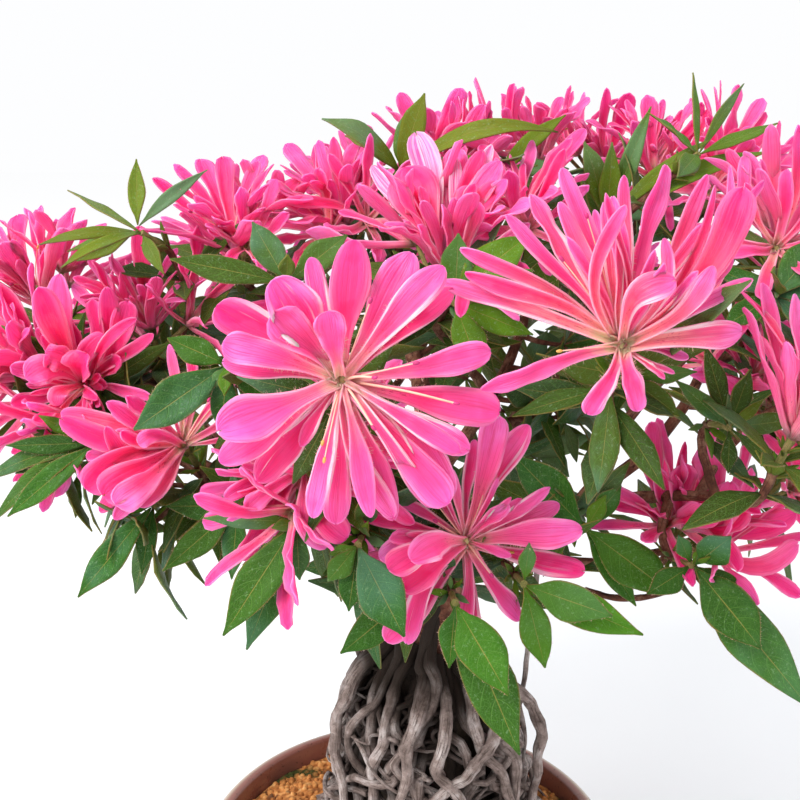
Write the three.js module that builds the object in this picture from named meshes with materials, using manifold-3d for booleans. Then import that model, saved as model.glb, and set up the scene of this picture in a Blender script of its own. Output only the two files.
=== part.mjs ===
// A satsuki azalea bonsai in the exposed-root style, in flower, in a round glazed pot.
//
// Millimetres, +Z up. The plant is laid out round the pot's axis, with the pot's foot on Z = 0. The
// whole is then moved sideways so that the origin is the middle of its footprint on the shelf.
//
// One mesh is one piece: the pot, the soil, the tree (roots, trunk and branches are one growth), a
// flower head with its petals fused at the throat, or a leafy shoot with its leaves fused to its stem.
import * as THREE from "three";
import { mergeGeometries, mergeVertices } from "three/addons/utils/BufferGeometryUtils.js";
import Module from "manifold-3d";

const wasm = await Module();
wasm.setup();

// ---------------------------------------------------------------------------------- dimensions

const GAP = 0.35; // clearance between neighbouring pieces
const ROUNDING = 0.004;
const POT = {
  rim: 55, // radius outside the lip
  height: 50,
  wall: 4,
  floor: 4.5, // thickness of the pot's floor
  base: 40, // radius inside, at the floor
  foot: 37, // outer radius of the foot ring
  footWidth: 5,
  footHeight: 4,
  drain: 7, // radius of the drain hole
  sides: 24,
};
const BELLY = { height: 21, inset: 5 }; // where the pot's side turns up, and how far inside the rim
const LIP = { depth: 5, reach: 2, round: 1.4 };
const SOIL = {
  edge: 44.5, // height at the pot's wall
  middle: 47,
  grain: 0.8, // height of the bumps
  pad: 36, // radius of the mat of fine roots that fills a pocket in the soil
  padDepth: 12,
  padSides: 18,
};
const CROWN = [6, 2, 130]; // where the branches part
const ROOTS = {
  centre: [6, 4],
  thick: 2.5,
  thin: 1.7,
  sides: 4,
  wandering: 8, // how many of the roots follow the rule
  wanderingSides: 3,
  spread: 290, // degrees round the trunk that they share
  first: -10,
  sway: 16, // degrees from one point to the next
  unevenness: 3,
  seed: 500,
};
const AERIAL = { radius: 0.9, sides: 4, steps: 4 };
const BLADE = { thickness: 0.7, narrowest: 0.75 };
const PETAL = { stations: [0, 0.42, 0.8, 1], widths: [0.24, 0.62, 1, 0.55], hub: 1.9, perLayer: 8 };
const SHORT_PETAL = { stations: [0, 0.62, 1], widths: [0.26, 0.98, 0.6], hub: 1.9, perLayer: 10 };
const LEAF = { stations: [0, 0.36, 0.72, 1], widths: [0.2, 0.96, 0.82, 0.1], hub: 1.3, perLayer: 6, from: 25 };
const SHORT_LEAF = { stations: [0, 0.5, 1], widths: [0.2, 1, 0.1], hub: 1.3, perLayer: 6 };
// Where straps join: the hub's radius for each strap, the widest half-arc of a strap and arc of a
// plain wall, and the height from layer to layer.
const HUB = { perStrap: 0.24, widest: 40, wall: 100, lift: 1.3 };
const STALK = { length: 7, throat: 1.25, base: 0.95, sides: 5 }; // under a flower head
const STEM = { length: 6, throat: 0.95, base: 0.95, sides: 4 }; // under a whorl of leaves
const COLUMN = { throat: 0.8, base: 0.8, sides: 3 }; // from one layer of a whorl to the next
const TWIG = { radius: 1, sides: 3, steps: 2, approach: 7, taper: 0.012 };
const ROOM = { beyond: 1.5, around: 0.3 }; // kept free past the end of a stalk, and round its throat

// Where a blade would touch a neighbour it is turned, tilted or cut back, in this order, until it is
// clear. Each row is degrees round the axis, degrees of opening, and share of its length.
const WAYS_CLEAR = [
  [0, 0, 1],
  [7, 0, 1],
  [-7, 0, 1],
  [0, 9, 1],
  [0, -9, 1],
  [12, 8, 0.92],
  [-12, 8, 0.92],
  [12, -12, 0.92],
  [-12, -12, 0.92],
  [0, 16, 0.8],
  [0, -18, 0.8],
  [20, 0, 0.75],
  [-20, 0, 0.75],
];

// Towards the side that the tree is shown from, level with the eye of someone looking a little down.
const FRONT = [0, -0.96, 0.28];

// ---------------------------------------------------------------------------------- small tools

const radians = (degrees) => (degrees * Math.PI) / 180;

// The same draws each time for the same seed, each from 0 to 1.
function dice(seed) {
  let state = seed >>> 0;
  return () => {
    state = (state + 0x6d2b79f5) >>> 0;
    let mixed = Math.imul(state ^ (state >>> 15), state | 1);
    mixed = (mixed + Math.imul(mixed ^ (mixed >>> 7), mixed | 61)) ^ mixed;
    return ((mixed ^ (mixed >>> 14)) >>> 0) / 4294967296;
  };
}

function solidOf(geometry) {
  const bare = geometry.clone();
  bare.deleteAttribute("normal");
  bare.deleteAttribute("uv");
  const merged = mergeVertices(bare, 1e-4);
  const vertProperties = new Float32Array(merged.attributes.position.array);
  const triVerts = new Uint32Array(merged.index.array);
  return new wasm.Manifold(new wasm.Mesh({ numProp: 3, vertProperties, triVerts }));
}

function geometryOf(solid) {
  const mesh = solid.getMesh();
  const geometry = new THREE.BufferGeometry();
  geometry.setAttribute("position", new THREE.BufferAttribute(mesh.vertProperties, 3));
  geometry.setIndex(new THREE.BufferAttribute(mesh.triVerts, 1));
  return geometry;
}

// Turns a profile of [radius, height] points round the Z axis.
function turned(profile, sides) {
  const points = profile.map(([radius, height]) => new THREE.Vector2(radius, height));
  return new THREE.LatheGeometry(points, sides).rotateX(Math.PI / 2);
}

// A growth without the small hollows that its crossing roots and limbs close off.
function filled(solid) {
  return solid.decompose().reduce((most, body) => (body.volume() > most.volume() ? body : most));
}

const curveThrough = (points) => new THREE.CatmullRomCurve3(points.map((p) => new THREE.Vector3(...p)));

// A round limb that follows a smooth curve through points and tapers from one radius to another.
function limb(points, thick, thin, sides, steps) {
  const curve = curveThrough(points);
  const { normals, binormals } = curve.computeFrenetFrames(steps);
  const geometry = new THREE.CylinderGeometry(1, 1, 1, sides, steps);
  const position = geometry.attributes.position;
  const vertex = new THREE.Vector3();
  for (let i = 0; i < position.count; i += 1) {
    vertex.fromBufferAttribute(position, i);
    const step = Math.round((vertex.y + 0.5) * steps);
    const radius = thick + (thin - thick) * (step / steps);
    const centre = curve.getPointAt(step / steps);
    centre.addScaledVector(normals[step], vertex.z * radius);
    centre.addScaledVector(binormals[step], vertex.x * radius);
    position.setXYZ(i, centre.x, centre.y, centre.z);
  }
  return geometry;
}

// ---------------------------------------------------------------------------------- blades
//
// Petals and leaves are one kind of thing: a strap that leaves a hub at an opening angle from the
// hub's axis, at a clock angle round that axis, and bends outwards by its curl along its length.

// The axis, the twelve o'clock direction and the three o'clock direction of a hub, as seen by
// someone whom it faces.
function clockFrame(facing) {
  const axis = new THREE.Vector3(...facing).normalize();
  const above = Math.abs(axis.z) > 0.97 ? new THREE.Vector3(0, 1, 0) : new THREE.Vector3(0, 0, 1);
  const noon = above.addScaledVector(axis, -above.dot(axis)).normalize();
  const three = new THREE.Vector3().crossVectors(noon, axis);
  return { axis, noon, three };
}

function outwardsAt(frame, clock) {
  const outwards = frame.noon.clone().multiplyScalar(Math.cos(radians(clock)));
  return outwards.addScaledVector(frame.three, Math.sin(radians(clock)));
}

// The side of a strap that faces the hub's axis, where the strap stands at this opening angle.
function faceAt(frame, outwards, angle) {
  return frame.axis.clone().multiplyScalar(Math.sin(angle)).addScaledVector(outwards, -Math.cos(angle));
}

// The middle, the sideways direction, the face direction and the width at each station of a strap.
function strap(centre, frame, { clock, open, length, width, curl, roll }, form, hub) {
  const outwards = outwardsAt(frame, clock);
  const clockwise = new THREE.Vector3().crossVectors(outwards, frame.axis);
  const start = radians(open);
  const bend = radians(Math.abs(curl) < 1 ? 1 : curl);
  const perTurn = (length - hub) / bend;
  return form.stations.map((station, i) => {
    const angle = start + bend * station;
    const out = hub + perTurn * (Math.cos(start) - Math.cos(angle));
    const along = perTurn * (Math.sin(angle) - Math.sin(start));
    const middle = centre.clone().addScaledVector(frame.axis, along).addScaledVector(outwards, out);
    const flat = faceAt(frame, outwards, angle);
    const side = clockwise.clone().multiplyScalar(Math.cos(radians(roll)));
    side.addScaledVector(flat, -Math.sin(radians(roll)));
    const face = flat.multiplyScalar(Math.cos(radians(roll)));
    face.addScaledVector(clockwise, Math.sin(radians(roll)));
    return { middle, side, face, out, wide: Math.max(width * form.widths[i], BLADE.narrowest) };
  });
}

function strapPoint({ middle, side, face, wide }, x, z) {
  const point = middle.clone().addScaledVector(side, x * wide);
  return point.addScaledVector(face, z * BLADE.thickness);
}

// Moves each vertex of a geometry to where a formula sends it, and leaves out its other attributes.
function bent(geometry, place) {
  const position = geometry.attributes.position;
  for (let i = 0; i < position.count; i += 1) {
    const point = place(position.getX(i), position.getY(i), position.getZ(i), i);
    position.setXYZ(i, point.x, point.y, point.z);
  }
  geometry.deleteAttribute("normal");
  geometry.deleteAttribute("uv");
  return geometry;
}

// A box of 1 x 1 x 1 in steps along Y. Its back is split along the same diagonals as its front, so
// that a twisted strap keeps its thickness. Without its root, its end at the hub stays open.
function strapBox(steps, withRoot) {
  const box = new THREE.BoxGeometry(1, 1, 1, 1, steps, 1);
  const [right, left, tip, root, front, back] = box.groups.map(({ start, count }) => {
    return Array.from(box.index.array.slice(start, start + count));
  });
  for (let i = 0; i < back.length; i += 6) {
    const [a, b, d, , c] = back.slice(i, i + 6);
    back.splice(i, 6, a, b, c, a, c, d);
  }
  box.setIndex([right, left, tip, withRoot ? root : [], front, back].flat());
  return box;
}

const stepOf = (y, steps) => Math.round((y + 0.5) * steps);

// One strap by itself, with its root at the hub closed.
function bladeSolid(stations) {
  const steps = stations.length - 1;
  return solidOf(bent(strapBox(steps, true), (x, y, z) => strapPoint(stations[stepOf(y, steps)], x, z)));
}

// The sides of a hub, in clock order: the arcs that its blades take, and plain walls between blades
// that stand far apart.
function hubSides(rows) {
  const ordered = rows.map((row) => ({ ...row, clock: (row.clock + 720) % 360 }));
  ordered.sort((a, b) => a.clock - b.clock);
  return ordered.flatMap((row, i) => {
    const next = ordered[(i + 1) % ordered.length].clock;
    const last = ordered.at(i - 1).clock;
    const after = (next - row.clock + 360) % 360 || 360;
    const before = (row.clock - last + 360) % 360 || 360;
    const from = row.clock - Math.min(before / 2, HUB.widest);
    const to = row.clock + Math.min(after / 2, HUB.widest);
    const empty = after - 2 * (to - row.clock);
    const walls = Math.ceil(empty / HUB.wall - ROUNDING);
    const wall = (_, j) => ({ from: to + (empty * j) / walls });
    return [{ from, row }, ...Array.from({ length: walls }, wall)];
  });
}

// A whorl of straps that grow out of the sides of one flat hub, as one closed body.
function whorlSolid(centre, frame, rows, form, hub) {
  const sides = hubSides(rows);
  const corners = sides.map(({ from, row }, i) => {
    const opens = [row, sides.at(i - 1).row].filter(Boolean).map(({ open }) => open);
    const open = opens.reduce((sum, one) => sum + one, 0) / opens.length || 90;
    const outwards = outwardsAt(frame, from);
    const middle = centre.clone().addScaledVector(outwards, hub);
    return { middle, side: outwards, face: faceAt(frame, outwards, radians(open)), wide: 0 };
  });
  const corner = (i, z) => strapPoint(corners[(i + sides.length) % sides.length], 0, z);
  const steps = form.stations.length - 1;
  const pieces = sides.map(({ row }, i) => {
    if (!row) return bent(new THREE.PlaneGeometry(1, 1), (x, y) => corner(x < 0 ? i + 1 : i, y));
    const stations = strap(centre, frame, row, form, hub);
    return bent(strapBox(steps, false), (x, y, z) => {
      const step = stepOf(y, steps);
      return step === 0 ? corner(x < 0 ? i : i + 1, z) : strapPoint(stations[step], x, z);
    });
  });
  for (const [z, turn] of [
    [0.5, -1],
    [-0.5, 1],
  ]) {
    const middle = centre.clone().addScaledVector(frame.axis, z * BLADE.thickness);
    const fan = new THREE.CircleGeometry(1, sides.length);
    pieces.push(bent(fan, (x, y, _, i) => (i === 0 ? middle : corner(turn * (i - 1) + sides.length, z))));
  }
  return solidOf(mergeGeometries(pieces));
}

// ---------------------------------------------------------------------------------- keeping clear

const placed = []; // every finished piece, and the room that every stalk and stem will take

function keep(name, solid) {
  placed.push({ name, solid, box: solid.boundingBox() });
  return solid;
}

function boxesMeet(a, b) {
  return [0, 1, 2].every((i) => a.min[i] - GAP < b.max[i] && b.min[i] - GAP < a.max[i]);
}

function isClear(name, solid) {
  const box = solid.boundingBox();
  return placed.every((other) => {
    if (other.name === name || !boxesMeet(box, other.box)) return true;
    return solid.minGap(other.solid, GAP) >= GAP - ROUNDING;
  });
}

// ---------------------------------------------------------------------------------- whorls in layers

// A round stalk below a point.
function stalk(top, axis, { length, throat, base, sides }) {
  const geometry = new THREE.CylinderGeometry(throat, base, length, sides, 1);
  const turn = new THREE.Quaternion().setFromUnitVectors(new THREE.Vector3(0, 1, 0), axis);
  const middle = top.clone().addScaledVector(axis, -length / 2);
  return solidOf(geometry.applyQuaternion(turn).translate(middle.x, middle.y, middle.z));
}

// The half of the clock angle that a strap fills, seen from the hub's axis.
function halfArc(stations) {
  const arcs = stations.slice(1).map(({ wide, out }) => Math.atan2(wide / 2, out));
  return (Math.max(...arcs) * 180) / Math.PI;
}

function clockBetween(a, b) {
  const turn = Math.abs(a - b) % 360;
  return Math.min(turn, 360 - turn);
}

// Shares the straps out among hubs in layers, the widest open lowest. Each strap is turned, tilted
// or cut back until it is clear of every other piece and stands beside the others in its layer, and
// is left out where nothing clears it.
function layersOf(name, foot, frame, rows, form) {
  const count = Math.ceil(rows.length / form.perLayer);
  const hub = Math.max(form.hub, (HUB.perStrap * rows.length) / count);
  const layers = [];
  const addLayer = () => {
    const centre = foot.clone().addScaledVector(frame.axis, HUB.lift * layers.length);
    layers.push({ centre, hub, rows: [] });
  };
  const placeIn = (row, order) =>
    WAYS_CLEAR.some(([turn, tilt, share]) => {
      const way = { ...row, clock: row.clock + turn, open: row.open + tilt, length: row.length * share };
      const layer = order.find(({ centre, rows: others }) => {
        const stations = strap(centre, frame, way, form, hub);
        way.arc = halfArc(stations);
        const beside = others.every(({ clock, arc }) => clockBetween(clock, way.clock) > arc + way.arc);
        return beside && isClear(name, bladeSolid(stations));
      });
      if (layer) layer.rows.push(way);
      return Boolean(layer);
    });
  while (layers.length < count) addLayer();
  [...rows]
    .sort((a, b) => b.open - a.open)
    .forEach((row, rank) => {
      const first = Math.floor((rank * count) / rows.length);
      if (placeIn(row, [...layers.slice(first), ...layers.slice(0, first)])) return;
      addLayer();
      placeIn(row, layers.slice(-1));
    });
  return layers.filter((layer) => layer.rows.length > 0);
}

// A stalk with its straps in layers round its top, joined by a short column.
function layered({ name, at, facing }, core, rows, form) {
  const frame = clockFrame(facing);
  const foot = new THREE.Vector3(...at);
  const layers = layersOf(name, foot, frame, rows, form);
  const top = layers.at(-1).centre;
  const height = top.distanceTo(foot);
  let body = core;
  if (height > 0) body = body.add(stalk(top, frame.axis, { ...COLUMN, length: height }));
  for (const layer of layers) body = body.add(whorlSolid(layer.centre, frame, layer.rows, form, layer.hub));
  return filled(body);
}

// ---------------------------------------------------------------------------------- pot and soil

// The pot's inner wall from the floor up, as radius and height, each this much inside the wall.
function innerWall(clearance) {
  const { rim, height, wall, floor, base, footHeight } = POT;
  const inner = rim - wall - clearance;
  return [
    [base - clearance, footHeight + floor],
    [inner - BELLY.inset, BELLY.height],
    [inner - 0.5, 0.74 * height],
    [inner, height],
  ];
}

function potSolid() {
  const { rim, height, wall, floor, base, foot, footWidth, footHeight, drain, sides } = POT;
  const profile = [
    [foot - footWidth, 0],
    [foot, 0],
    [foot, footHeight],
    [base + wall, footHeight + wall],
    [rim - BELLY.inset, BELLY.height],
    [rim - LIP.reach, height - LIP.depth - LIP.reach],
    [rim, height - LIP.depth],
    [rim, height - LIP.round],
    [rim - LIP.round, height],
    ...innerWall(0).reverse(),
    [drain, footHeight + floor],
    [drain, footHeight],
    [foot - footWidth, footHeight],
    [foot - footWidth, 0],
  ];
  return solidOf(turned(profile, sides));
}

// Low bumps, as crushed soil has.
function grain(x, y) {
  return SOIL.grain * Math.sin(x * 0.93 + y * 0.31) * Math.sin(y * 1.07 - x * 0.42);
}

function soilSolid() {
  const { rim, wall, floor, footHeight, sides } = POT;
  const bottom = footHeight + floor + GAP;
  const [low, middle, high] = innerWall(2 * GAP);
  const edge = rim - wall - 3 * GAP;
  const rise = SOIL.middle - SOIL.edge;
  const geometry = turned(
    [
      [0, bottom],
      [low[0], bottom],
      middle,
      high,
      [edge, SOIL.edge],
      [0.9 * edge, SOIL.edge + 0.5 * rise],
      [0.8 * edge, SOIL.edge + 0.9 * rise],
      [0.4 * edge, SOIL.middle],
      [0, SOIL.middle],
    ],
    sides,
  );
  const position = geometry.attributes.position;
  for (let i = 0; i < position.count; i += 1) {
    if (position.getZ(i) <= SOIL.edge) continue;
    position.setZ(i, position.getZ(i) + grain(position.getX(i), position.getY(i)));
  }
  const radius = SOIL.pad + GAP;
  const pocket = new THREE.CylinderGeometry(radius, radius, 2 * SOIL.padDepth, SOIL.padSides)
    .rotateX(Math.PI / 2)
    .translate(...ROOTS.centre, SOIL.middle);
  return solidOf(geometry).subtract(solidOf(pocket));
}

// ---------------------------------------------------------------------------------- the tree

// Exposed roots that stand out at the front: degrees round the trunk, where -90 is the front, then
// distance from the trunk's axis and height, from the crown down into the soil.
const FRONT_ROOTS = [
  [[-118, 9, 109], [-122, 20, 97], [-124, 24.5, 84], [-123, 26, 70], [-114, 29, 56], [-112, 31, 44]],
  [[-92, 8, 109], [-96, 20, 99], [-104, 25.5, 88], [-108, 27, 77], [-122, 31, 44]],
  [[-84, 10, 107], [-82, 22, 96], [-86, 26, 85], [-74, 27.5, 74], [-58, 30, 61], [-48, 32, 44]],
  [[-94, 14, 88], [-98, 24, 79], [-86, 27, 68], [-78, 29, 60], [-84, 32, 44]],
  [[-160, 9, 109], [-158, 22, 98], [-156, 27.5, 88], [-146, 27, 74], [-134, 32, 44]],
  [[-34, 10, 109], [-26, 22, 98], [-16, 30, 86], [-26, 29, 70], [-30, 32, 44]],
  [[-48, 16, 92], [-40, 26, 82], [-46, 28, 68], [-78, 32, 54], [-100, 33, 44]],
  [[-60, 9, 108], [-60, 20, 99], [-62, 24, 88], [-46, 28, 76], [-36, 32, 44]],
];

function aroundTrunk([degrees, distance, height]) {
  const [x, y] = ROOTS.centre;
  return [x + distance * Math.cos(radians(degrees)), y + distance * Math.sin(radians(degrees)), height];
}

// The other roots wander down a bulging outline, given as distance from the trunk's axis and height.
const ROOT_OUTLINE = [
  [9, 107],
  [20, 97],
  [25, 84],
  [27, 66],
  [30.5, 44],
];

function wanderingRoot(index) {
  const draw = dice(ROOTS.seed + index);
  const arc = ROOTS.spread / ROOTS.wandering;
  let degrees = ROOTS.first + arc * (index + 0.3 + 0.4 * draw());
  return ROOT_OUTLINE.map(([distance, height]) => {
    degrees += ROOTS.sway * (draw() - 0.5);
    return [degrees, distance + ROOTS.unevenness * (draw() - 0.5), height];
  });
}

// The core that the roots stand round, as radius and height.
const ROOT_CORE = [
  [0, 43],
  [25, 43],
  [21, 60],
  [18.5, 86],
  [13, 99],
  [7, 106],
  [0, 107],
];
const ROOT_CORE_SIDES = 9;

// Each limb runs through its points, and on to the foot of the flower head that it ends in, if any.
const LIMBS = [
  // trunk and leader
  { from: 8.5, to: 4.2, sides: 7, steps: 4,
    points: [[6, 4, 100], [8, 0, 118], [10, 1, 134], [4, 8, 156]] },
  { from: 4.2, to: 1.5, sides: 6, steps: 4, head: "bloom_top_left_inner",
    points: [[5, 6, 152], [3, 14, 172], [-4, 22, 188]] },
  // right
  { from: 4.6, to: 2.8, sides: 6, steps: 3,
    points: [[9, 0, 126], [24, -5, 134], [43, -8, 150]] },
  { from: 2.4, to: 1.3, sides: 5, steps: 4, head: "bloom_front_right",
    points: [[42, -7, 149], [43, -26, 164], [41, -42, 178]] },
  { from: 2.3, to: 1.2, sides: 5, steps: 4, head: "bloom_top_right",
    points: [[42, -7, 149], [61, 0, 162], [74, 12, 180]] },
  { from: 2.2, to: 1.2, sides: 5, steps: 3, head: "bloom_right_front",
    points: [[41, -8, 149], [54, -28, 158], [64, -46, 165]] },
  { from: 1.8, to: 1.0, sides: 4, steps: 3, head: "bloom_right_edge_low",
    points: [[26, -5, 135], [44, -12, 135], [66, -12, 140]] },
  // left
  { from: 4.2, to: 2.4, sides: 6, steps: 3,
    points: [[8, 1, 126], [-14, -4, 140], [-38, -6, 152]] },
  { from: 2.3, to: 1.2, sides: 5, steps: 3, head: "bloom_left_edge",
    points: [[-37, -6, 151], [-56, -2, 160]] },
  { from: 2.2, to: 1.2, sides: 5, steps: 4, head: "bloom_left_high",
    points: [[-36, -6, 151], [-54, 8, 166], [-72, 18, 176]] },
  { from: 1.8, to: 1.0, sides: 4, steps: 3, head: "bloom_left_low",
    points: [[-30, -5, 148], [-40, -14, 155]] },
  // front
  { from: 3.2, to: 1.8, sides: 5, steps: 3,
    points: [[7, -2, 122], [0, -20, 140], [-6, -36, 158]] },
  { from: 1.8, to: 1.2, sides: 5, steps: 3, head: "bloom_front_left",
    points: [[-6, -35, 157], [-11, -46, 174]] },
  { from: 1.7, to: 1.1, sides: 4, steps: 2, head: "bloom_front_low",
    points: [[-3, -28, 149], [4, -36, 154]] },
  // top and back
  { from: 2.6, to: 1.3, sides: 5, steps: 4, head: "bloom_top_inner",
    points: [[6, 6, 148], [20, 4, 172], [28, 8, 190]] },
  { from: 2.0, to: 1.2, sides: 4, steps: 2, head: "bloom_top_front",
    points: [[20, 4, 172], [12, -8, 186]] },
  { from: 3.4, to: 1.4, sides: 5, steps: 5, head: "bloom_top_right_middle",
    points: [[8, 2, 128], [22, 26, 148], [40, 40, 172], [58, 46, 200]] },
  { from: 1.8, to: 1.1, sides: 4, steps: 3, head: "bloom_back_right",
    points: [[36, 38, 167], [48, 56, 170]] },
  { from: 3.2, to: 1.3, sides: 5, steps: 4, head: "bloom_back_left",
    points: [[6, 4, 128], [-6, 26, 148], [-24, 44, 172]] },
  { from: 1.8, to: 1.1, sides: 4, steps: 3, head: "bloom_back_left_low",
    points: [[-16, 36, 161], [-44, 42, 164]] },
  { from: 1.8, to: 1.1, sides: 4, steps: 3, head: "bloom_back_middle",
    points: [[-12, 32, 156], [2, 56, 168]] },
];

// A fine root that hangs free from the branches down to the shoulder of the root mass.
const AERIAL_ROOT = [[32, -6.2, 141], [31.5, -3, 120], [31, 1, 104], [22, 2, 88]];

// A limb's route. One that ends in a flower head arrives at its foot in line with its stalk.
function routeOf({ points, head }) {
  if (!head) return points;
  const { foot, facing } = FEET.find(({ name }) => name === head);
  return [...points, pointBefore(foot, facing, TWIG.approach), foot];
}

function pointBefore(foot, facing, distance) {
  return new THREE.Vector3(...foot).addScaledVector(new THREE.Vector3(...facing), -distance).toArray();
}

// The place on the limbs that a twig to this foot grows from: near the foot, and near the crown.
function bestForkFor(foot) {
  const goal = new THREE.Vector3(...foot);
  const crown = new THREE.Vector3(...CROWN);
  let best = null;
  for (const row of LIMBS.slice(1)) {
    curveThrough(routeOf(row))
      .getSpacedPoints(row.steps)
      .slice(1, row.head ? -1 : undefined)
      .forEach((point, step) => {
        const cost = point.distanceTo(goal) + 0.25 * point.distanceTo(crown);
        const radius = row.from + (row.to - row.from) * ((step + 1) / row.steps);
        if (best === null || cost < best.cost) best = { cost, point, radius };
      });
  }
  return best;
}

// A twig that leaves the limbs at the best fork and arrives at a foot in line with its stalk.
function twigTo({ foot, facing }) {
  const { point, radius } = bestForkFor(foot);
  const reach = point.distanceTo(new THREE.Vector3(...foot));
  const middle = new THREE.Vector3(...pointBefore(foot, facing, 0.4 * reach)).lerp(point, 0.35);
  const thick = Math.min(radius, TWIG.radius + TWIG.taper * reach);
  const points = [point.toArray(), middle.toArray(), pointBefore(foot, facing, TWIG.radius), foot];
  return limb(points, thick, TWIG.radius, TWIG.sides, TWIG.steps);
}

function rootAlong(route, sides) {
  return limb(route.map(aroundTrunk), ROOTS.thick, ROOTS.thin, sides, route.length - 1);
}

function treeSolid() {
  const { pad, padSides, padDepth } = SOIL;
  const [x, y] = ROOTS.centre;
  const thickness = padDepth - GAP;
  const mat = new THREE.CylinderGeometry(pad, pad, thickness, padSides)
    .rotateX(Math.PI / 2)
    .translate(x, y, SOIL.middle - thickness / 2);
  const parts = [
    turned(ROOT_CORE, ROOT_CORE_SIDES).translate(x, y, 0),
    mat,
    ...FRONT_ROOTS.map((route) => rootAlong(route, ROOTS.sides)),
    ...Array.from({ length: ROOTS.wandering }, (_, i) => rootAlong(wanderingRoot(i), ROOTS.wanderingSides)),
    ...LIMBS.map((row) => limb(routeOf(row), row.from, row.to, row.sides, row.steps)),
    limb(AERIAL_ROOT, AERIAL.radius, AERIAL.radius, AERIAL.sides, AERIAL.steps),
    ...FEET.filter(({ name }) => !LIMBS.some(({ head }) => head === name)).map(twigTo),
  ];
  return filled(parts.map(solidOf).reduce((all, one) => all.add(one)));
}

// ---------------------------------------------------------------------------------- flower heads
//
// A head is two or three flowers opened from one bud, so it has ten petals or more. The petals are
// split to the throat into straps, the mark of this kind of azalea. Petal rows give the clock angle
// and the opening angle in degrees, the length and width in millimetres, and the curl and roll in
// degrees. A head without rows of its own has them from petalRule.

const FRONT_LEFT_PETALS = [
  [345, 88, 22, 4, 6, 0],
  [29, 86, 25, 6.5, 8, 0],
  [50, 88, 25, 4.5, 6, -10],
  [102, 88, 28, 6.5, 6, 0],
  [129, 88, 24, 4.5, 6, 10],
  [159, 88, 26, 5, 6, 14],
  [182, 88, 25, 5, 6, 0],
  [220, 88, 23, 7, 8, 0],
  [279, 88, 21, 4.5, 6, 0],
  [301, 87, 25, 8, 6, 0],
  [5, 77, 24, 7.5, 10, 0],
  [42, 77, 26, 5.5, 10, 12],
  [80, 80, 26, 5.5, 10, 10],
  [119, 76, 25, 4.5, 12, -12],
  [139, 79, 28, 7, 8, 0],
  [167, 76, 24, 4.5, 12, -14],
  [191, 76, 24, 4.5, 12, 10],
  [236, 79, 25, 7, 10, 0],
  [288, 77, 21, 6.5, 10, 0],
  [246, 64, 23, 8, 14, 0],
  [326, 62, 21, 8.5, 14, 0],
  [350, 38, 13, 6.5, 46, 0],
];

const FRONT_RIGHT_PETALS = [
  [12, 88, 32, 6, 4, 0],
  [45, 90, 30, 8, 6, 0],
  [97, 88, 12, 2.6, 6, 0],
  [290, 90, 33, 5, 4, 0],
  [304, 92, 33, 4.2, 4, 0],
  [330, 92, 31, 5, 4, 10],
  [350, 92, 25, 3, 4, 0],
  [1, 78, 29, 5, 6, 0],
  [27, 80, 32, 4, 8, 16],
  [37, 76, 35, 3.4, 8, 0],
  [254, 74, 26, 4.8, 22, 0],
  [296, 80, 30, 4, 8, 0],
  [317, 82, 30, 4, 8, 0],
  [341, 80, 32, 4, 6, 0],
  [50, 60, 23, 4.5, 12, 0],
  [84, 42, 21, 7.5, 66, 0],
  [175, 36, 13, 5, 50, 0],
  [210, 44, 15, 5, 50, 0],
  [352, 60, 26, 4.4, 12, 10],
];

const FRONT_LOW_PETALS = [
  [4, 92, 20, 3, 4, 0],
  [27, 86, 26, 6.5, 4, -8],
  [70, 88, 20, 4, 6, 0],
  [105, 84, 24, 6, 8, 0],
  [184, 86, 27, 5.5, 6, 0],
  [211, 80, 25, 7, 8, 0],
  [258, 88, 24, 4, 6, 0],
  [302, 88, 17, 3.4, 8, 0],
  [331, 88, 17, 3.4, 8, 0],
  [14, 74, 26, 6.5, 8, 10],
  [82, 66, 23, 7.5, 20, 0],
  [134, 70, 21, 5.5, 24, 0],
  [233, 62, 19, 6.5, 26, 0],
  [272, 76, 24, 3.6, 8, 0],
];

const LEFT_LOW_PETALS = [
  [286, 84, 27, 5.5, 6, 0],
  [234, 84, 23, 6, 6, 0],
  [8, 86, 23, 3.6, 4, 0],
  [36, 84, 21, 3.2, 10, 0],
  [352, 88, 22, 3.4, 4, 0],
  [300, 60, 17, 4, 20, 0],
  [262, 66, 20, 4, 24, 0],
  [244, 70, 22, 5, 8, 12],
  [222, 68, 21, 4.5, 8, -12],
  [62, 76, 20, 3.4, 20, 0],
];

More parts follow.
